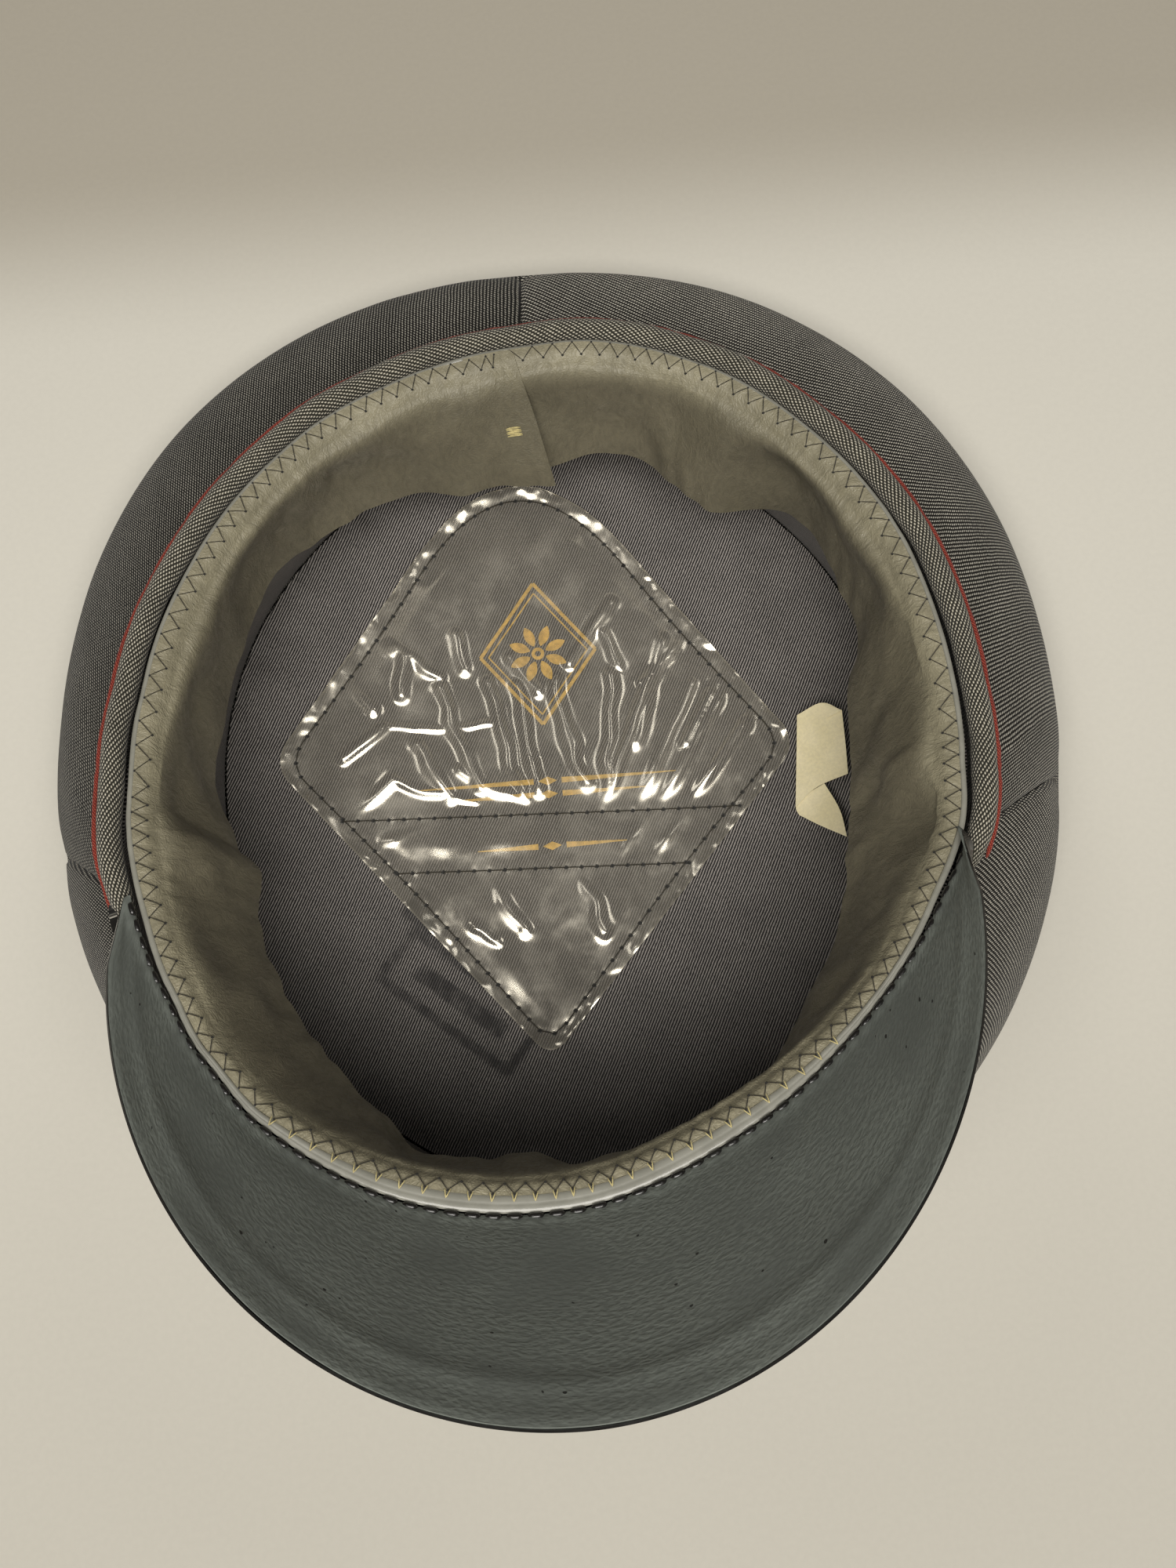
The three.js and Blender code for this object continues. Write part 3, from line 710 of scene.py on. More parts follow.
def crown_top():
    angle = np.linspace(0, 360, 241)
    share = np.linspace(0.02, 1, 16)[:-1]
    bend = np.radians(np.linspace(0, 90, 16))
    rim = beside(CROWN, angle, -CROWN_EDGE, 0.0)
    rings = [rim[:, None] * share[None, :, None]]
    out = -CROWN_EDGE + CROWN_EDGE * np.sin(bend)
    up = CROWN_EDGE - CROWN_EDGE * np.cos(bend)
    rings.append(beside(CROWN, angle[:, None], out[None], up[None]))
    face = np.concatenate(rings, 1)
    cells, height = angle / 360 * PUCKER.cells, face[..., 2]
    pucker = noise(cells[:, None], height / PUCKER.height, 3, PUCKER.cells)
    pucker = pucker * smoothstep(height, *PUCKER.starts)
    face = face - normals(face) * (PUCKER.depth * pucker)[..., None]
    face[-1] = face[0]
    flat = face[..., :2]
    reach = np.linalg.norm(flat, axis=-1, keepdims=True)
    laid = flat / reach * (reach[:, :1] + distances(face, 1)[..., None])
    mesh = wall_mesh(face, CLOTH, closed=True, uv=turned(laid, CROWN_TOP_LEAN))
    finish_piece(mesh, "crown_top_cloth", ["crown_top"], CROWN_CLOTH)


def panel_face(angle, t):
    """The cloth between the crown's edge and the band: a swelling curve at each angle."""
    edge = beside(CROWN, angle, 0, CROWN_EDGE + CLOTH_GAP)
    sewn = on_rim(angle, BAND.inner + CLOTH, BAND.foot - CLOTH_GAP)
    reach = edge - sewn
    reach[..., 2] = 0
    rise = np.maximum(sewn[..., 2] - edge[..., 2], 0)
    up = np.array([0.0, 0.0, 1.0])
    one = edge + up * (PANEL_SWELL.edge_lift + PANEL_SWELL.edge_rise * rise)[..., None]
    two = sewn + reach * PANEL_SWELL.seam_reach
    two = two + up * (PANEL_SWELL.seam_lift - PANEL_SWELL.seam_drop * rise)[..., None]
    t = t[None, :, None]
    points = [p[:, None] for p in (edge, one, two, sewn)]
    weights = [(1 - t) ** 3, 3 * t * (1 - t) ** 2, 3 * t * t * (1 - t), t ** 3]
    return sum(w * p for w, p in zip(weights, points))


def cut_flat(face, angle, lean, bend):
    """Lays a panel flat as it was cut: an arc that bends this much of the real turn, with ribs that
    lean by an angle from +X in the middle of the panel."""
    middle = (angle[0] + angle[-1]) / 2
    radius = distances(face, 0)[-1, face.shape[1] // 2] / math.radians(angle[-1] - angle[0]) / bend
    across = distances(face, 1)
    radius = radius + across[:, [face.shape[1] // 2]] - across
    turn = np.radians(middle - 90 + (angle - middle) * bend)[:, None]
    return turned(np.stack([radius * np.cos(turn), radius * np.sin(turn)], -1), lean)


def crown_panel(side, first, last, lean, bend, seed, cloth):
    near_seam = np.linspace(0, SEAM_SHARE, 10)
    between = np.linspace(SEAM_SHARE, 1 - SEAM_SHARE, 125)
    share = np.concatenate([near_seam[:-1], between, 1 - near_seam[-2::-1]])
    angle = lerp(first, last, share)
    t = np.linspace(0, 1, 40)
    face = panel_face(angle, t)
    along = distances(face, 0)
    to_seam = np.minimum(along, along[-1:] - along)
    body = np.sin(np.pi * t)[None]
    dip = sum(depth * bell(to_seam, half) for depth, half in SEAM_DIPS) * smoothstep(t, 0, 0.08)[None]
    soft = sum(height * noise(along / length, t[None] * across, seed + k)
               for k, (length, across, height) in enumerate(PANEL_WAVES))
    face = face + normals(face) * (soft * body - dip)[..., None]
    mesh = wall_mesh(face, CLOTH, uv=cut_flat(face, angle, lean, bend))
    name = "crown_panel_" + side
    finish_piece(mesh, name + "_cloth", [name], cloth)


def band():
    angle = np.linspace(0, 360, 241)
    top = lerp(BAND.top_at_peak, BAND.top, smoothstep(turn_from_peak(angle), *BAND.steps))
    t = np.linspace(0, 1, 12)
    height = lerp(BAND.foot, top[:, None], t[None])
    face = on_rim(angle[:, None], BAND.inner + CLOTH, height)
    mesh = wall_mesh(face, CLOTH, closed=True)
    finish_piece(mesh, "band_cloth", ["band"], CROWN_CLOTH)


def rim_frame(angle):
    """Outward and upward directions of the rim's own frame, in the cap."""
    base = on_rim(angle, 0, 0)
    out = on_rim(angle, 1, 0) - base
    up = on_rim(angle, 0, 1) - base
    return out, up


def to_tip(angle, tip):
    """Degrees to the nearer end of a tube that runs round the back between two tips."""
    return 180 - tip - np.abs(angle - 180)


def tapered(angle, tip, length):
    """Size along such a tube: full, then closing to its tips."""
    share = np.clip(to_tip(angle, tip) / length, 0, 1)
    return np.sqrt(share * (2 - share) + TUCK.open)


def rim_tube(form, angle, out, up, width, height, sides):
    """A tube beside the rim, closing to its tips, which are tucked in and down."""
    tuck = smoothstep(to_tip(angle, form.tip), TUCK.length, 0)
    path = on_edge(angle, form.out + out - form.tuck_in * tuck, form.up + up - TUCK.down * tuck)
    side, rise = rim_frame(angle)
    size = tapered(angle, form.tip, form.taper)
    return tube_mesh(path, rise, side, width * size, height * size, sides, form.lean)


def rim_roll():
    angle = np.linspace(ROLL.tip, 360 - ROLL.tip, 720)
    swell = 1 + 0.035 * noise(angle / 4, 0.5, 11) + 0.03 * noise(angle / 1.6, 0.5, 12)
    out = 0.2 * noise(angle / 6, 0.5, 13)
    mesh = rim_tube(ROLL, angle, out, 0, ROLL.half_width * swell, ROLL.half_height * swell, 28)
    piece = finish_piece(mesh, "rim_roll_cloth", ["rim_roll"], ROLL_CLOTH_PAINTED_LIGHT)


def piping():
    angle = np.linspace(PIPING.tip, 360 - PIPING.tip, 900)
    sink = np.maximum(0.25 * noise(angle / 5, 0.5, 21) + 0.2 * noise(angle / 1.7, 0.5, 22), 0)
    radius = PIPING.radius * (1 + 0.12 * noise(angle / 0.8, 0.5, 23))
    mesh = rim_tube(PIPING, angle, -sink, -0.4 * sink, radius, radius, 12)
    finish_piece(mesh, "piping_cord", ["piping"], PIPING_CLOTH)


# Welt and sweatband

def welt_width(angle):
    return lerp(WELT.width_at_peak, WELT.width, smoothstep(turn_from_peak(angle), *WELT.narrows))


def welt():
    """Pale bead with two low ridges over the peak, narrow and sunk beside the roll round the rest."""
    angle = np.linspace(0, 360, 601)
    t = np.linspace(0, 1, 15)
    width = welt_width(angle)[:, None]
    front = from_peak(1, 0, angle)[:, None]
    cells = WELT_WAVER.cells
    waver = WELT_WAVER.height * noise(angle / 360 * cells, 0.5, 31, cells)[:, None]
    out = -WELT.outer - WELT_SUNK.inward * (1 - front) - width * t[None] + waver
    ridges = np.abs(np.sin(2 * np.pi * t)) ** 0.7
    crown = np.sin(np.pi * t) ** 0.6
    sunk = crown * WELT_SUNK.crown - WELT_SUNK.down
    raised = WELT.top * (0.1 + 0.6 * crown + 0.2 * ridges)
    face = on_edge(angle[:, None], out, lerp(sunk[None], raised[None], front) + waver)
    face[-1] = face[0]
    mesh = wall_mesh(face, WELT.thickness, closed=True)
    finish_piece(mesh, "sweatband_welt_strip", ["sweatband_welt"], WELT_PLASTIC)


def sweatband_profile(angle, lap):
    """Six points of the face from the sewn edge to the free edge, as inward reach and height."""
    width = from_peak(STRIP.width_at_peak, STRIP.width, angle)
    drop = from_peak(STRIP.drop_at_peak, STRIP.drop, angle)
    sewn_in = WELT.outer + welt_width(angle) + SWEATBAND.clear + lap - stray(angle)
    sewn_in = sewn_in + from_peak(0, WELT_SUNK.inward, angle)
    sewn = np.stack([sewn_in, np.full_like(sewn_in, SWEATBAND.top)], -1)
    crest = sewn + np.stack([STRIP.crest * width, -STRIP.crest_drop * drop], -1)
    fold = sewn + np.stack([width, -drop], -1)
    free = np.stack([from_rows(SWING, angle), np.full_like(sewn_in, SWEATBAND.foot)], -1)
    hang = lerp(fold, free, HANG.part)
    hang[..., 0] += HANG.bulge * (fold - free)[..., 0]
    under = fold + np.array(HANG.under)
    return np.stack([sewn, crest, fold, under, hang, free], -2)


def through(points, t):
    """A smooth curve through points given along the next to last axis; t counts the points."""
    last = points.shape[-2] - 1
    i = np.clip(np.floor(t).astype(int), 0, last - 1)
    f = (t - i)[:, None]
    before = 2 * points[..., :1, :] - points[..., 1:2, :]
    after = 2 * points[..., -1:, :] - points[..., -2:-1, :]
    ends = np.concatenate([before, points, after], -2)
    a, b, c, d = (ends[..., i + k, :] for k in range(4))
    square, cube = 2 * a - 5 * b + 4 * c - d, 3 * b - a - 3 * c + d
    return 0.5 * (2 * b + (c - a) * f + square * f ** 2 + cube * f ** 3)


def sweatband_face(angle, t, lift=0.0):
    """The face of the sweatband. t is 0 at the sewn edge, 2 at the fold and 5 at the free edge."""
    from_end = angle - SWING[0][0]
    lap = SWEATBAND.lap_lift * (1 - smoothstep(from_end, SWEATBAND.lap, 2 * SWEATBAND.lap))
    lean = SWEATBAND.lap_lean * (1 - smoothstep(from_end, 0, SWEATBAND.lap))
    profile = through(sweatband_profile(angle, lap), t)
    reach, height = profile[..., 0], profile[..., 1]
    hanging = smoothstep(t, *HANG.waves_from)[None]
    a, down = angle[:, None], t[None]

    def middle_of(form):
        return bell(down - form.middle, form.half_width)

    wave = 1.3 * noise(a / 7, down * 1.1, 41) + 0.45 * noise(a / 2.6 + down * 0.7, down * 1.7, 42)
    pleat = PLEAT.height * noise(a / 1.5, down * 0.8, 43) * middle_of(PLEAT)
    stitch = 2 * np.pi * ZIGZAG.count * (a + ZIGZAG.first) / 360
    quilt = -QUILT.height * np.cos(stitch) * middle_of(QUILT)
    swell = sum(inward * bell(a - at, half) for at, half, inward in SWELLS) * middle_of(SWELL_ACROSS)
    reach = reach + hanging * wave + pleat + swell
    height = height + quilt
    shifted = a + lean[:, None] * (1 - height / SWEATBAND.foot)
    return on_rim(shifted, -(reach + LIFT.inward * lift), height + LIFT.up * lift)


def sweatband():
    angle = np.linspace(SWING[0][0], SWING[-1][0], 760)
    t = np.concatenate([np.linspace(0, 3, 20)[:-1], np.linspace(3, 5, 24)])
    mesh = wall_mesh(sweatband_face(angle, t), SWEATBAND.thickness)
    finish_piece(mesh, "sweatband_strip", ["sweatband"], SWEATBAND_LEATHER)


# Peak

def peak_point(angle, share, depth, inset=0.0):
    """A point of the peak: share of the way from the rim to its edge, which an inset draws in, and
    depth below its lined face."""
    angle, share, depth = np.broadcast_arrays(*(np.asarray(a, float) for a in (angle, share, depth)))
    part = angle / PEAK_REACH
    fullness = np.maximum(1 - np.abs(part) ** PEAK.taper, 0) ** PEAK.fullness
    reach = PEAK.shortest + PEAK.length * fullness * (1 + PEAK.sideways * part)
    corner = np.clip((PEAK_CORNER - np.abs(angle)) / PEAK.corner, 0, 1)
    reach = np.maximum(reach * np.sqrt(corner) - inset, PEAK.least)
    start = np.minimum(stray(angle), reach - PEAK.clear) * (1 - share)
    reach = reach * share
    flat = oval_outward(RIM, angle) * (1 - PEAK_FORWARD)
    flat[..., 1] -= PEAK_FORWARD
    flat = unit(flat)
    slope = np.radians(PEAK_SLOPE.middle + PEAK_SLOPE.gain * part ** 2)
    local = beside(RIM, angle, PEAK_START + start, 0)
    local[..., :2] += flat * (np.cos(slope) * reach + np.sin(slope) * depth)[..., None]
    local[..., 2] += np.sin(slope) * reach - np.cos(slope) * depth
    return tilted(local)


def peak_grid(columns, rows):
    return np.linspace(-PEAK_CORNER, PEAK_CORNER, columns)[:, None], np.linspace(0, 1, rows)[None]


def peak():
    """Hard shell, thinned to a fine lip along its free edge."""
    angle, share = peak_grid(261, 30)
    flat = peak_point(angle, share, 0)
    from_lip = distances(flat[:, ::-1], 1)[:, ::-1]
    inner = smoothstep(from_lip, 0, PEAK_SHELL_LIP.width)
    face = peak_point(angle, share, lerp(*PEAK_SHELL_LIP.sunk, inner))
    mesh = wall_mesh(face[:, ::-1], lerp(*PEAK_SHELL_LIP.thickness, inner)[:, ::-1])
    finish_piece(mesh, "peak_shell", ["peak"], PEAK_SHELL)


def peak_lining():
    """Pressed sheet under the peak, with a soft ridge near the lip and puckers along the sewn edge."""
    angle, share = peak_grid(341, 50)
    flat = peak_point(angle, share, 0, PEAK_LIP)
    reach = distances(flat, 1)
    to_edge = reach[:, -1:] - reach
    ridge = PEAK_RIDGE.height * bell(to_edge - PEAK_RIDGE.from_edge, PEAK_RIDGE.half_width)
    ridge = ridge * smoothstep(reach, 2, 10)
    turn = distances(flat, 0)[:, :1] / PEAK_SEAM.pitch * np.pi
    pillow = PEAK_PUCKER.height * np.abs(np.sin(turn)) ** 0.6
    pillow = pillow * bell(reach - PEAK_PUCKER.from_rim, PEAK_PUCKER.half_width)
    soft = 0.22 * noise(angle / 9, share * 4, 51) * smoothstep(reach, 0, 8)
    lip = -PEAK_SHEET.lip_drop * bell(to_edge, PEAK_SHEET.lip_width)
    face = peak_point(angle, share, -(ridge + pillow + soft + lip), PEAK_LIP)
    thickness = lerp(*PEAK_SHEET.thickness, smoothstep(to_edge, 0, PEAK_SHEET.width))
    mesh = wall_mesh(face[:, ::-1], thickness[:, ::-1])
    finish_piece(mesh, "peak_lining_sheet", ["peak_lining"], PEAK_LINING)


# Lining

def lining_height(x, y):
    """Height of the upper side of the lining's floor."""
    length = np.where(y > 0, LINING_SEAM.back, LINING_SEAM.front)
    reach = np.hypot(x / LINING_SEAM.half_width, y / length)
    soft = 0.35 * noise(x / 17, y / 23, 61) + 0.12 * noise(x / 6, y / 9, 62)
    return LINING_FLOOR.height + LINING_FLOOR.sag * reach ** 3 + soft * (1 - np.clip(reach, 0, 1) ** 6)


def lining_side():
    """Gathered strip from the band down to the seam of the lining's floor."""
    angle = np.linspace(0, 360, 361)
    top = on_rim(angle, LINING.out_at_top, LINING.top)
    bend = on_rim(angle, LINING.out_at_bend, LINING.bend)
    seam = beside(LINING_SEAM, angle, 0, LINING.seam_height)
    t = np.concatenate([np.linspace(0, 1, 8)[:-1], np.linspace(1, 2, 30)])
    lines = np.stack([top, bend, seam], -2)
    i = np.clip(np.floor(t).astype(int), 0, 1)
    chord = lerp(lines[:, i], lines[:, i + 1], (t - i)[None, :, None])
    face = lerp(chord, through(lines, t), LINING_SIDE.roundness)
    gather = noise(angle[:, None] / 2.5, t[None] * 1.5, 63, 144) * (t * (2 - t))[None]
    face = face + normals(face) * (LINING_SIDE.gather * gather)[..., None]
    face[-1] = face[0]
    mesh = wall_mesh(face, LINING.thickness, closed=True, lean=LINING_SIDE.lean)
    finish_piece(mesh, "lining_side_cloth", ["lining_side"], LINING_SIDE_CLOTH)


def stamp_ink(x, y):
    """Faded patch of stamping ink: a slanting frame round a bar, and a block beside it. No lettering."""
    turn = math.radians(STAMP.turn)
    along = (x - STAMP.x) * math.cos(turn) + (y - STAMP.y) * math.sin(turn)
    across = (y - STAMP.y) * math.cos(turn) - (x - STAMP.x) * math.sin(turn)

    def box(middle, off, length, width):
        inside = np.minimum(length / 2 - np.abs(along - middle), width / 2 - np.abs(across - off))
        return smoothstep(inside, -STAMP.soft, STAMP.soft)

    outer, inner = (box(*row) for row in STAMP_FRAME)
    marks = outer - inner
    for row in STAMP_BLOCKS:
        marks = np.maximum(marks, box(*row))
    worn = 0.72 + 0.3 * noise(x / 1.7, y / 1.7, 64) + 0.3 * noise(x / 7, y / 6, 65)
    return np.clip(marks * worn, 0, 1) * STAMP.strength


def lining_top():
    angle = np.linspace(0, 360, 361)
    share = np.linspace(0.004, 1, 128)
    edge = beside(LINING_SEAM, angle, -0.6, 0)
    face = edge[:, None] * share[None, :, None]
    x, y = face[..., 0], face[..., 1]
    gather = noise(angle[:, None] / 3, share[None] * 6, 66, 120) * smoothstep(share, 0.8, 1)[None]
    face[..., 2] = lining_height(x, y) + LINING_FLOOR.gather * gather
    face[-1] = face[0]
    face = face[:, ::-1]
    laid = turned(face[..., :2], LINING_FLOOR.lean)
    mesh = wall_mesh(face, LINING.thickness, closed=True, uv=laid)
    place = np.empty(len(mesh.vertices) * 3)
    mesh.vertices.foreach_get("co", place)
    place = place.reshape(-1, 3) / MM
    ink = mesh.attributes.new("ink", "FLOAT", "POINT")
    ink.data.foreach_set("value", stamp_ink(place[:, 0], place[:, 1]))
    finish_piece(mesh, "lining_top_cloth", ["lining_top"], LINING_CLOTH)


# Sweat shield and what is sewn or printed under it

def shield_outline():
    """The lozenge with rounded corners, as points that run round it."""
    corners = np.array([c[:2] for c in SHIELD_CORNERS], float)
    rounding = [c[2] for c in SHIELD_CORNERS]
    points = []
    for i, corner in enumerate(corners):
        before, after = corners[i - 1], corners[(i + 1) % len(corners)]
        start = lerp(corner, before, rounding[i])
        end = lerp(corner, after, rounding[i])
        s = np.linspace(0, 1, SHIELD_POINTS.corner, endpoint=False)[:, None]
        points.append((1 - s) ** 2 * start + 2 * s * (1 - s) * corner + s ** 2 * end)
        far = lerp(after, corner, rounding[(i + 1) % len(corners)])
        s = np.linspace(0, 1, SHIELD_POINTS.side, endpoint=False)[:, None]
        points.append(lerp(end, far, s))
    return np.concatenate(points) + np.array(SHIELD_MIDDLE)


def to_segment(x, y, start, end):
    """Distance of points from a straight line between two ends."""
    start, end = np.array(start, float), np.array(end, float)
    along = end - start
    t = np.clip(((x - start[0]) * along[0] + (y - start[1]) * along[1]) / (along @ along), 0, 1)
    return np.hypot(x - start[0] - t * along[0], y - start[1] - t * along[1])


def shield_seams():
    """The sewn lines of the film: round its edge, and two across."""
    outline = shield_outline()
    middle = np.array(SHIELD_MIDDLE)
    ring = outline - unit(outline - middle) * (SHIELD_MARGIN / EDGE_SHARE)
    return [np.concatenate([ring, ring[:1]])] + [np.array(seam, float) for seam in SHIELD_SEAMS]


def along_line(line, marks):
    run = distances(line[:, None], 0)[:, 0]
    return np.stack([np.interp(marks, run, line[:, k]) for k in (0, 1)], -1)


def shield_marks():
    """Where the thread goes through the film, a list of points for each seam."""
    lengths = [distances(line[:, None], 0)[-1, 0] for line in shield_seams()]
    counts = [round(length / SHIELD_STITCH.pitch) for length in lengths]
    return [along_line(line, np.linspace(0, length, n + 1))
            for line, length, n in zip(shield_seams(), lengths, counts)]


def shield_lift(x, y, from_edge):
    """How far the film stands off the lining: pinned at its stitches, folded between, wavy at the edge."""
    across = np.minimum(*(to_segment(x, y, *seam) for seam in SHIELD_SEAMS))
    seams = np.minimum(across, np.abs(from_edge - SHIELD_MARGIN))
    inside = smoothstep(from_edge, SHIELD_MARGIN, SHIELD_MARGIN + 5) * (1 - bell(across, 6))
    folds = np.zeros_like(x)
    bend = FOLD.bend * noise(x / FOLD.bend_size, y / FOLD.bend_size, 76)
    for k, (x0, y0, x1, y1) in enumerate(SHIELD_FOLDS):
        width = lerp(FOLD.narrow, FOLD.wide, abs(y1 - y0) / math.hypot(x1 - x0, y1 - y0))
        height = width * (FOLD.height + FOLD.height_step * (k % 3))
        away = to_segment(x + bend, y + bend, (x0, y0), (x1, y1))
        folds = np.maximum(folds, height * bell(away, width))
    crumple = 0.7 * noise(x / 21 + y / 40, y / 19, 73) + 0.2 * noise(x / 8, y / 9, 74)
    near = np.full(x.shape, 9.0)
    for mark in np.concatenate(shield_marks()):
        near = np.minimum(near, np.hypot(x - mark[0], y - mark[1]))
    pucker = 0.13 * (1 - bell(near, 1)) * bell(seams, 2)
    edge = 0.4 + 0.5 * noise(x / 5, y / 5, 75) + 0.25 * noise(x / 2.2, y / 2.2, 77)
    edge = edge * smoothstep(SHIELD_MARGIN - from_edge, 0, SHIELD_MARGIN)
    return np.maximum(0.25 + (0.35 + crumple + folds) * inside + pucker + edge, 0.1)


def sweat_shield():
    ring = np.concatenate([shield_outline(), shield_outline()[:1]])
    length = distances(ring[:, None], 0)[-1, 0]
    outline = along_line(ring, np.linspace(0, length, 440))
    middle = np.array(SHIELD_MIDDLE)
    radius = np.linalg.norm(outline - middle, axis=1)
    inner = np.concatenate([np.linspace(0.005, 0.9, 91)[:-1], np.linspace(0.9, 1, 20)])
    flat = middle + (outline - middle)[:, None] * inner[None, :, None]
    from_edge = (1 - inner[None]) * radius[:, None] * EDGE_SHARE
    x, y = flat[..., 0], flat[..., 1]
    z = lining_height(x, y) + shield_lift(x, y, from_edge) + FILM_SHEET.off_lining
    face = np.concatenate([flat, z[..., None]], -1)
    face[-1] = face[0]
    mesh = wall_mesh(face[:, ::-1], -FILM_SHEET.thickness, closed=True)
    # Painted highlight: more haze on the border and most at the cut edge, for the glints the edge catches.
    rim = FILM_EDGE_PAINTED_GLINT.border * smoothstep(from_edge, *FILM_EDGE_PAINTED_GLINT.border_from)
    rim = (rim + FILM_EDGE_PAINTED_GLINT.cut * smoothstep(from_edge, *FILM_EDGE_PAINTED_GLINT.cut_from))[:-1, ::-1]
    edge = mesh.attributes.new("edge", "FLOAT", "POINT")
    edge.data.foreach_set("value", np.concatenate([rim, rim[:, ::-1]], 1).ravel())
    finish_piece(mesh, "sweat_shield_film", ["sweat_shield"], FILM, 80)


def stitched(name, paths, radius, sides, material):
    finish_piece(thread_mesh(paths, radius, sides), name, [], material)


def shield_stitches():
    """Brown thread that runs from hole to hole of the film, with a dark blob at each hole as painted shade
    of the hole.
    """
    thread, hole_shade_blobs = [], []
    side, top = np.array(SHIELD_HOLE_SHADE.side), np.array(SHIELD_HOLE_SHADE.top)
    back = side * (-1, -1, 1)
    for marks in shield_marks():
        height = lining_height(marks[:, 0], marks[:, 1]) + SHIELD_STITCH.height
        points = np.append(marks, height[:, None], -1)
        thread += [arched(a, b, SHIELD_STITCH.arch) for a, b in zip(points[:-1], points[1:])]
        hole_shade_blobs += [[p + back, p + top, p + side] for p in points]
    stitched("shield_stitches", thread, SHIELD_STITCH.radius, 6, OLIVE_THREAD)
    stitched("shield_hole_shade", hole_shade_blobs, SHIELD_HOLE_SHADE.radius, 8, PAINTED_HOLE_SHADE)


def over_sweatband(angle, t, lift):
    return sweatband_face(np.array([angle]), np.array([t]), lift)[0, 0]


def zigzag_point(turn, t, lift):
    """A point over the sweatband after this many turns of the zigzag."""
    return over_sweatband(turn * 360 / ZIGZAG.count - ZIGZAG.first, t, lift)


def rim_stitches():
    """Zigzag that holds the sweatband to the welt, with loops over the welt at the peak."""
    step = 360 / ZIGZAG.count
    zigzag, loops = [], []
    for i in range(ZIGZAG.count):
        turns = ((i, ZIGZAG.outer), (i + 0.5, ZIGZAG.inner), (i + 1, ZIGZAG.outer))
        points = [zigzag_point(turn, t, ZIGZAG.lift) for turn, t in turns]
        zigzag += [arched(a, b, ZIGZAG.arch) for a, b in zip(points[:-1], points[1:])]
        angle = i * step - ZIGZAG.first
        if turn_from_peak(angle) < LOOPS.last:
            inner = WELT.outer + float(welt_width(angle))
            head = on_edge(angle, LOOPS.over - inner, WELT.top + LOOPS.head)
            for side in (-LOOPS.spread, LOOPS.spread):
                start = on_edge(angle + side * step, -inner - LOOPS.under, WELT.top + LOOPS.foot)
                loops.append(arched(start, head, LOOPS.arch))
    stitched("sweatband_zigzag", zigzag, ZIGZAG.radius, 6, OLIVE_THREAD)
    stitched("sweatband_loops", loops, LOOPS.radius, 6, STRAW_THREAD)


def needle_holes():
    """Small dark blobs of painted shade in the needle holes where the zigzag thread goes into the
    sweatband.
    """
    paths = []
    for i in range(ZIGZAG.count):
        for turn, t, half in ((i, ZIGZAG.outer, HOLES.outer), (i + 0.5, ZIGZAG.inner, HOLES.inner)):
            centre = zigzag_point(turn, t, HOLES.lift)
            paths.append([centre - (half, 0, 0), centre, centre + (half, 0, 0)])
    stitched("sweatband_needle_holes", paths, HOLES.radius, 8, PAINTED_HOLE_SHADE)


def peak_stitches():
    """Fat dark stitches in the groove between the welt and the peak's lining."""
    angle = np.linspace(-PEAK_CORNER + 1, PEAK_CORNER - 1, 1200)
    groove = on_edge(angle, PEAK_SEAM.out, PEAK_SEAM.up)
    run = distances(groove[:, None], 0)[:, 0]
    paths = []
    for mark in np.arange(PEAK_SEAM.first, run[-1] - PEAK_SEAM.last, PEAK_SEAM.pitch):
        marks = np.linspace(mark, mark + PEAK_SEAM.stitch, 7)
        path = np.stack([np.interp(marks, run, groove[:, k]) for k in range(3)], -1)
        path[:, 2] -= PEAK_SEAM.sag * np.abs(np.linspace(-1, 1, 7)) ** 3
        paths.append(path)
    stitched("peak_stitches", paths, PEAK_SEAM.radius, 8, PEAK_SHELL)


def tack_stitch():
    """Straw-coloured tack that holds the lap at the back of the sweatband."""
    paths = []
    for k in range(TACK.threads):
        start, end = (over_sweatband(a, TACK.first + TACK.step * k, TACK.lift) for a in TACK.ends)
        lean = np.array([0, 0, TACK.cross * (-1) ** k])
        paths.append(arched(start + lean, end - lean, TACK.arch))
    stitched("sweatband_tack", paths, TACK.radius, 6, STRAW_THREAD)


def flat_line(points, width):
    """The two edges of a ribbon of print along points on the lining."""
    points = np.asarray(points, float)
    along = unit(np.gradient(points, axis=0))
    side = np.stack([-along[:, 1], along[:, 0]], -1) * np.asarray(width).reshape(-1, 1) / 2
    return np.stack([points - side, points + side], 1)


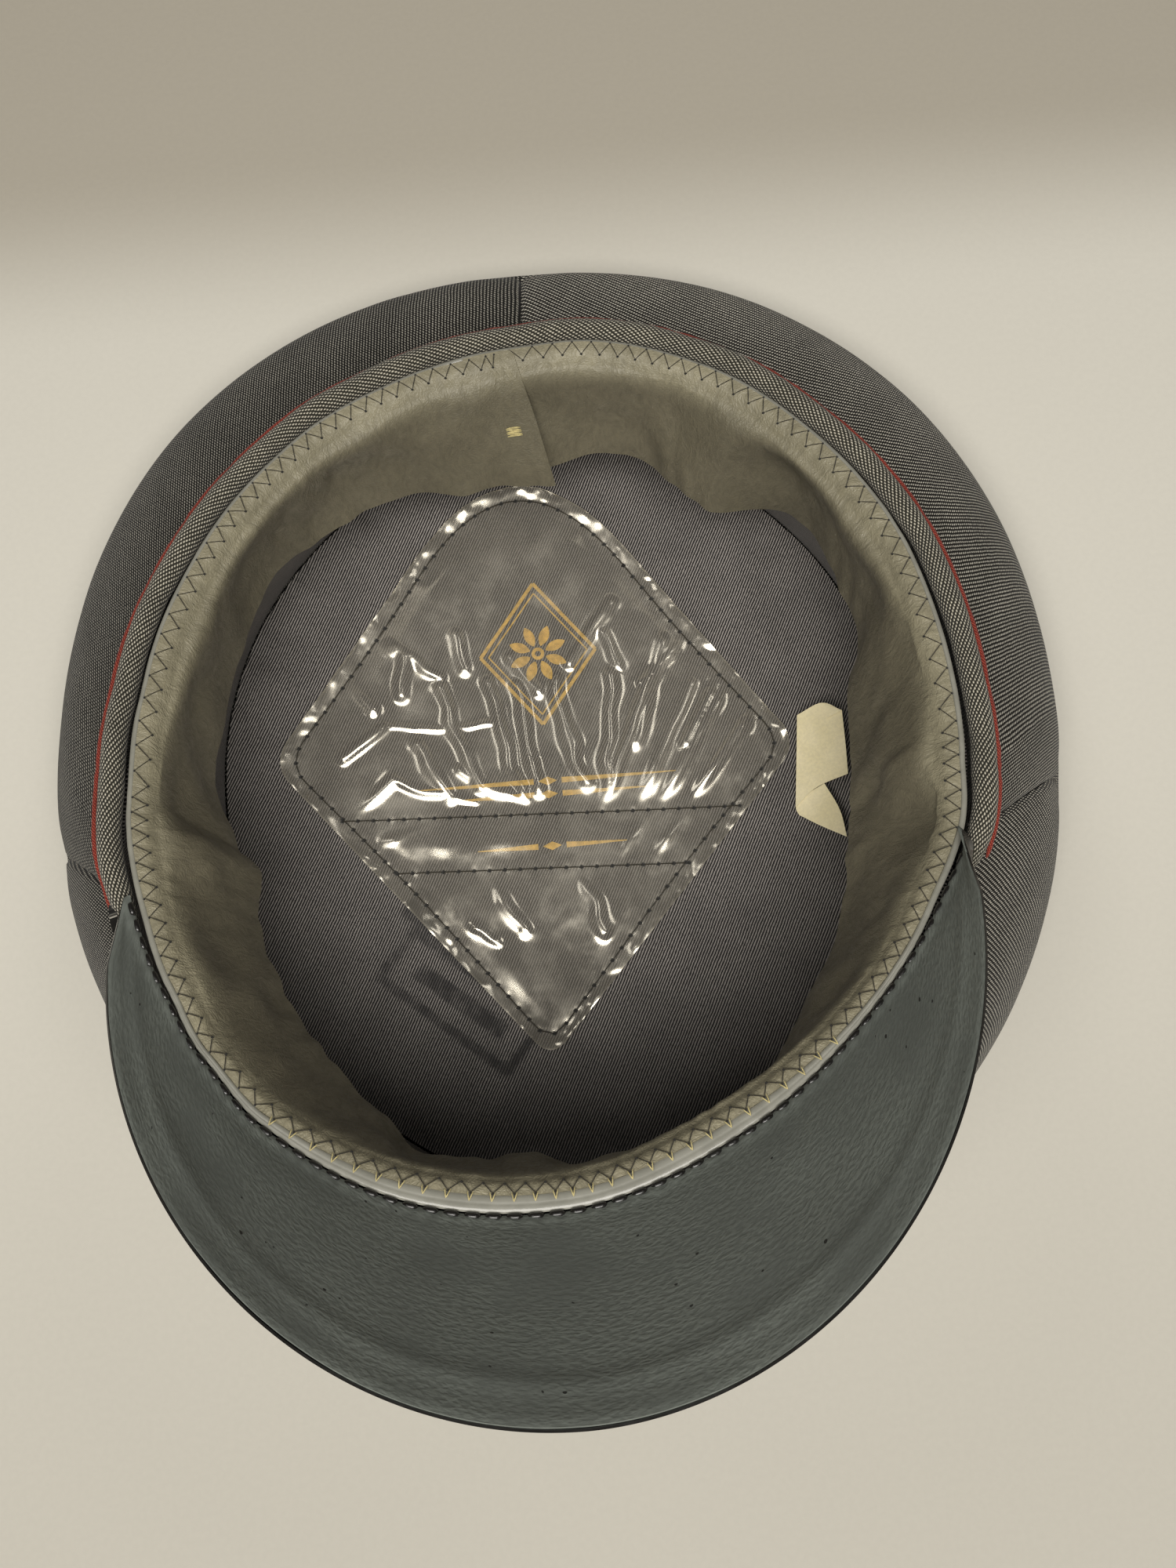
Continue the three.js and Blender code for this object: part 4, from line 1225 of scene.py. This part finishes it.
def gold_print():
    """Plain gold ornament on the lining: a rosette in a lozenge above tapering rules. No lettering."""
    centre = np.array([PRINT.x, PRINT.y])
    ribbons = []
    wide, tall = LOZENGE.half_width, LOZENGE.half_height
    corners = np.array([(0, tall), (-wide, 0), (0, -tall), (wide, 0), (0, tall)], float)
    s = np.linspace(0, 1, 20)[:, None]
    for start, end in zip(corners[:-1], corners[1:]):
        for share, width in LOZENGE.lines:
            ribbons.append(flat_line(centre + share * lerp(start, end, s), width))
    s = np.linspace(0, 1, 16)
    for k in range(ROSETTE.petals):
        turn = 2 * math.pi * (k + 0.5) / ROSETTE.petals
        spine = np.outer(ROSETTE.start + ROSETTE.length * s, [math.cos(turn), math.sin(turn)])
        width = ROSETTE.tip + ROSETTE.width * np.sin(np.pi * s) ** 0.8
        ribbons.append(flat_line(centre + spine, width))
    turn = np.radians(np.linspace(0, 360, 49))
    ring = ROSETTE.ring * np.stack([np.cos(turn), np.sin(turn)], -1)
    ribbons.append(flat_line(centre + ring, ROSETTE.ring_width))
    for y, half in RULES:
        s = np.linspace(0, 1, 30)
        for way in (-1, 1):
            x = centre[0] + way * lerp(RULE.start, half, s)
            ribbons.append(flat_line(np.stack([x, np.full(30, y)], -1), lerp(*RULE.widths, s)))
        s = np.linspace(-1, 1, 9)
        diamond = np.stack([centre[0] + RULE.diamond * s, np.full(9, y)], -1)
        ribbons.append(flat_line(diamond, RULE.diamond_tip + RULE.diamond_width * (1 - np.abs(s))))
    tubes = []
    for ribbon in ribbons:
        height = lining_height(ribbon[..., 0], ribbon[..., 1]) + PRINT.lift
        low = np.append(ribbon, height[..., None], -1)
        high = low + (0, 0, PRINT.thickness)
        tubes.append(np.stack([low[:, 0], low[:, 1], high[:, 1], high[:, 0]], 1))
    finish_piece(tubes_mesh(tubes), "lining_ornament", [], GOLD, 30)


def sheet_grid(rows, columns, count):
    """A smooth grid through rows of points in space, all of the same length."""
    points = through(np.array(rows, float), np.linspace(0, len(rows[0]) - 1, columns))
    return through(points.swapaxes(0, 1), np.linspace(0, len(rows) - 1, count))


def paper_label():
    """Blank slip of paper, folded at its foot and dog-eared at its head, below the sweatband."""
    count = LABEL.count
    parts = [wall_mesh(sheet_grid(rows, count, count), LABEL.thickness)
             for rows in (LABEL_FRONT, LABEL_FLAP, LABEL_EAR)]
    mesh = joined(parts)
    finish_piece(mesh, "paper_label_slip", ["paper_label"], LABEL_PAPER, 30)


# Crown panels: side, first and last angle, lean of the ribs, bend of the cut, seed, cloth.
PANELS = (
    ("front_right", 0, SIDE_SEAM, -60, 1.0, 101, CROWN_CLOTH_PAINTED_SHEEN),
    ("back_right", SIDE_SEAM, 180, -19, 1.39, 103, CROWN_CLOTH_PAINTED_SHEEN),
    ("back_left", 180, 360 - SIDE_SEAM, 97, 0.85, 105, CROWN_CLOTH),
    ("front_left", 360 - SIDE_SEAM, 360, -4, 1.0, 107, CROWN_CLOTH),
)

crown_top()
for panel in PANELS:
    crown_panel(*panel)
for make in (
    band, rim_roll, piping, welt, sweatband, peak, peak_lining, lining_side, lining_top, sweat_shield,
    gold_print, shield_stitches, rim_stitches, needle_holes, peak_stitches, tack_stitch, paper_label,
):
    make()


# Stage: pale floor, soft light and the camera of the photograph

def stage():
    bpy.ops.mesh.primitive_plane_add(size=FLOOR.size, location=(0, 0, FLOOR.height))
    floor = bpy.context.object
    floor.name = "floor"
    floor.data.materials.append(floor_material())


def area_light(name, place, target, size, power, colour):
    light = bpy.data.lights.new(name, "AREA")
    light.shape = "ELLIPSE"
    light.size, light.size_y = size
    light.energy = power
    light.color = colour
    lamp = bpy.data.objects.new(name, light)
    bpy.context.scene.collection.objects.link(lamp)
    lamp.location = place
    way = np.array(target, float) - np.array(place, float)
    lamp.rotation_euler = Vector(way).to_track_quat("-Z", "Y").to_euler()


def lights_and_camera():
    world = bpy.data.worlds.new("studio")
    world.use_nodes = True
    background = world.node_tree.nodes["Background"]
    background.inputs["Color"].default_value = (*WARM, 1)
    background.inputs["Strength"].default_value = WORLD_STRENGTH
    bpy.context.scene.world = world
    area_light("key", **KEY)
    x, y, z = LAMP["place"]
    for side in (-1, 1):
        area_light("lamp", **{**LAMP, "place": (x * side, y, z)})
    camera = bpy.data.cameras.new("camera")
    camera.sensor_fit = "VERTICAL"
    camera.sensor_height = CAMERA.sensor
    camera.lens = CAMERA.lens
    camera.clip_start = CAMERA.clip
    viewer = bpy.data.objects.new("camera", camera)
    bpy.context.scene.collection.objects.link(viewer)
    tilt = Matrix.Rotation(math.radians(CAMERA.tilt), 4, "X")
    roll = Matrix.Rotation(math.radians(CAMERA.roll), 4, "Z")
    viewer.matrix_world = Matrix.Translation(CAMERA.place) @ tilt @ roll
    bpy.context.scene.camera = viewer
    bpy.context.scene.view_settings.view_transform = "Standard"


stage()
lights_and_camera()
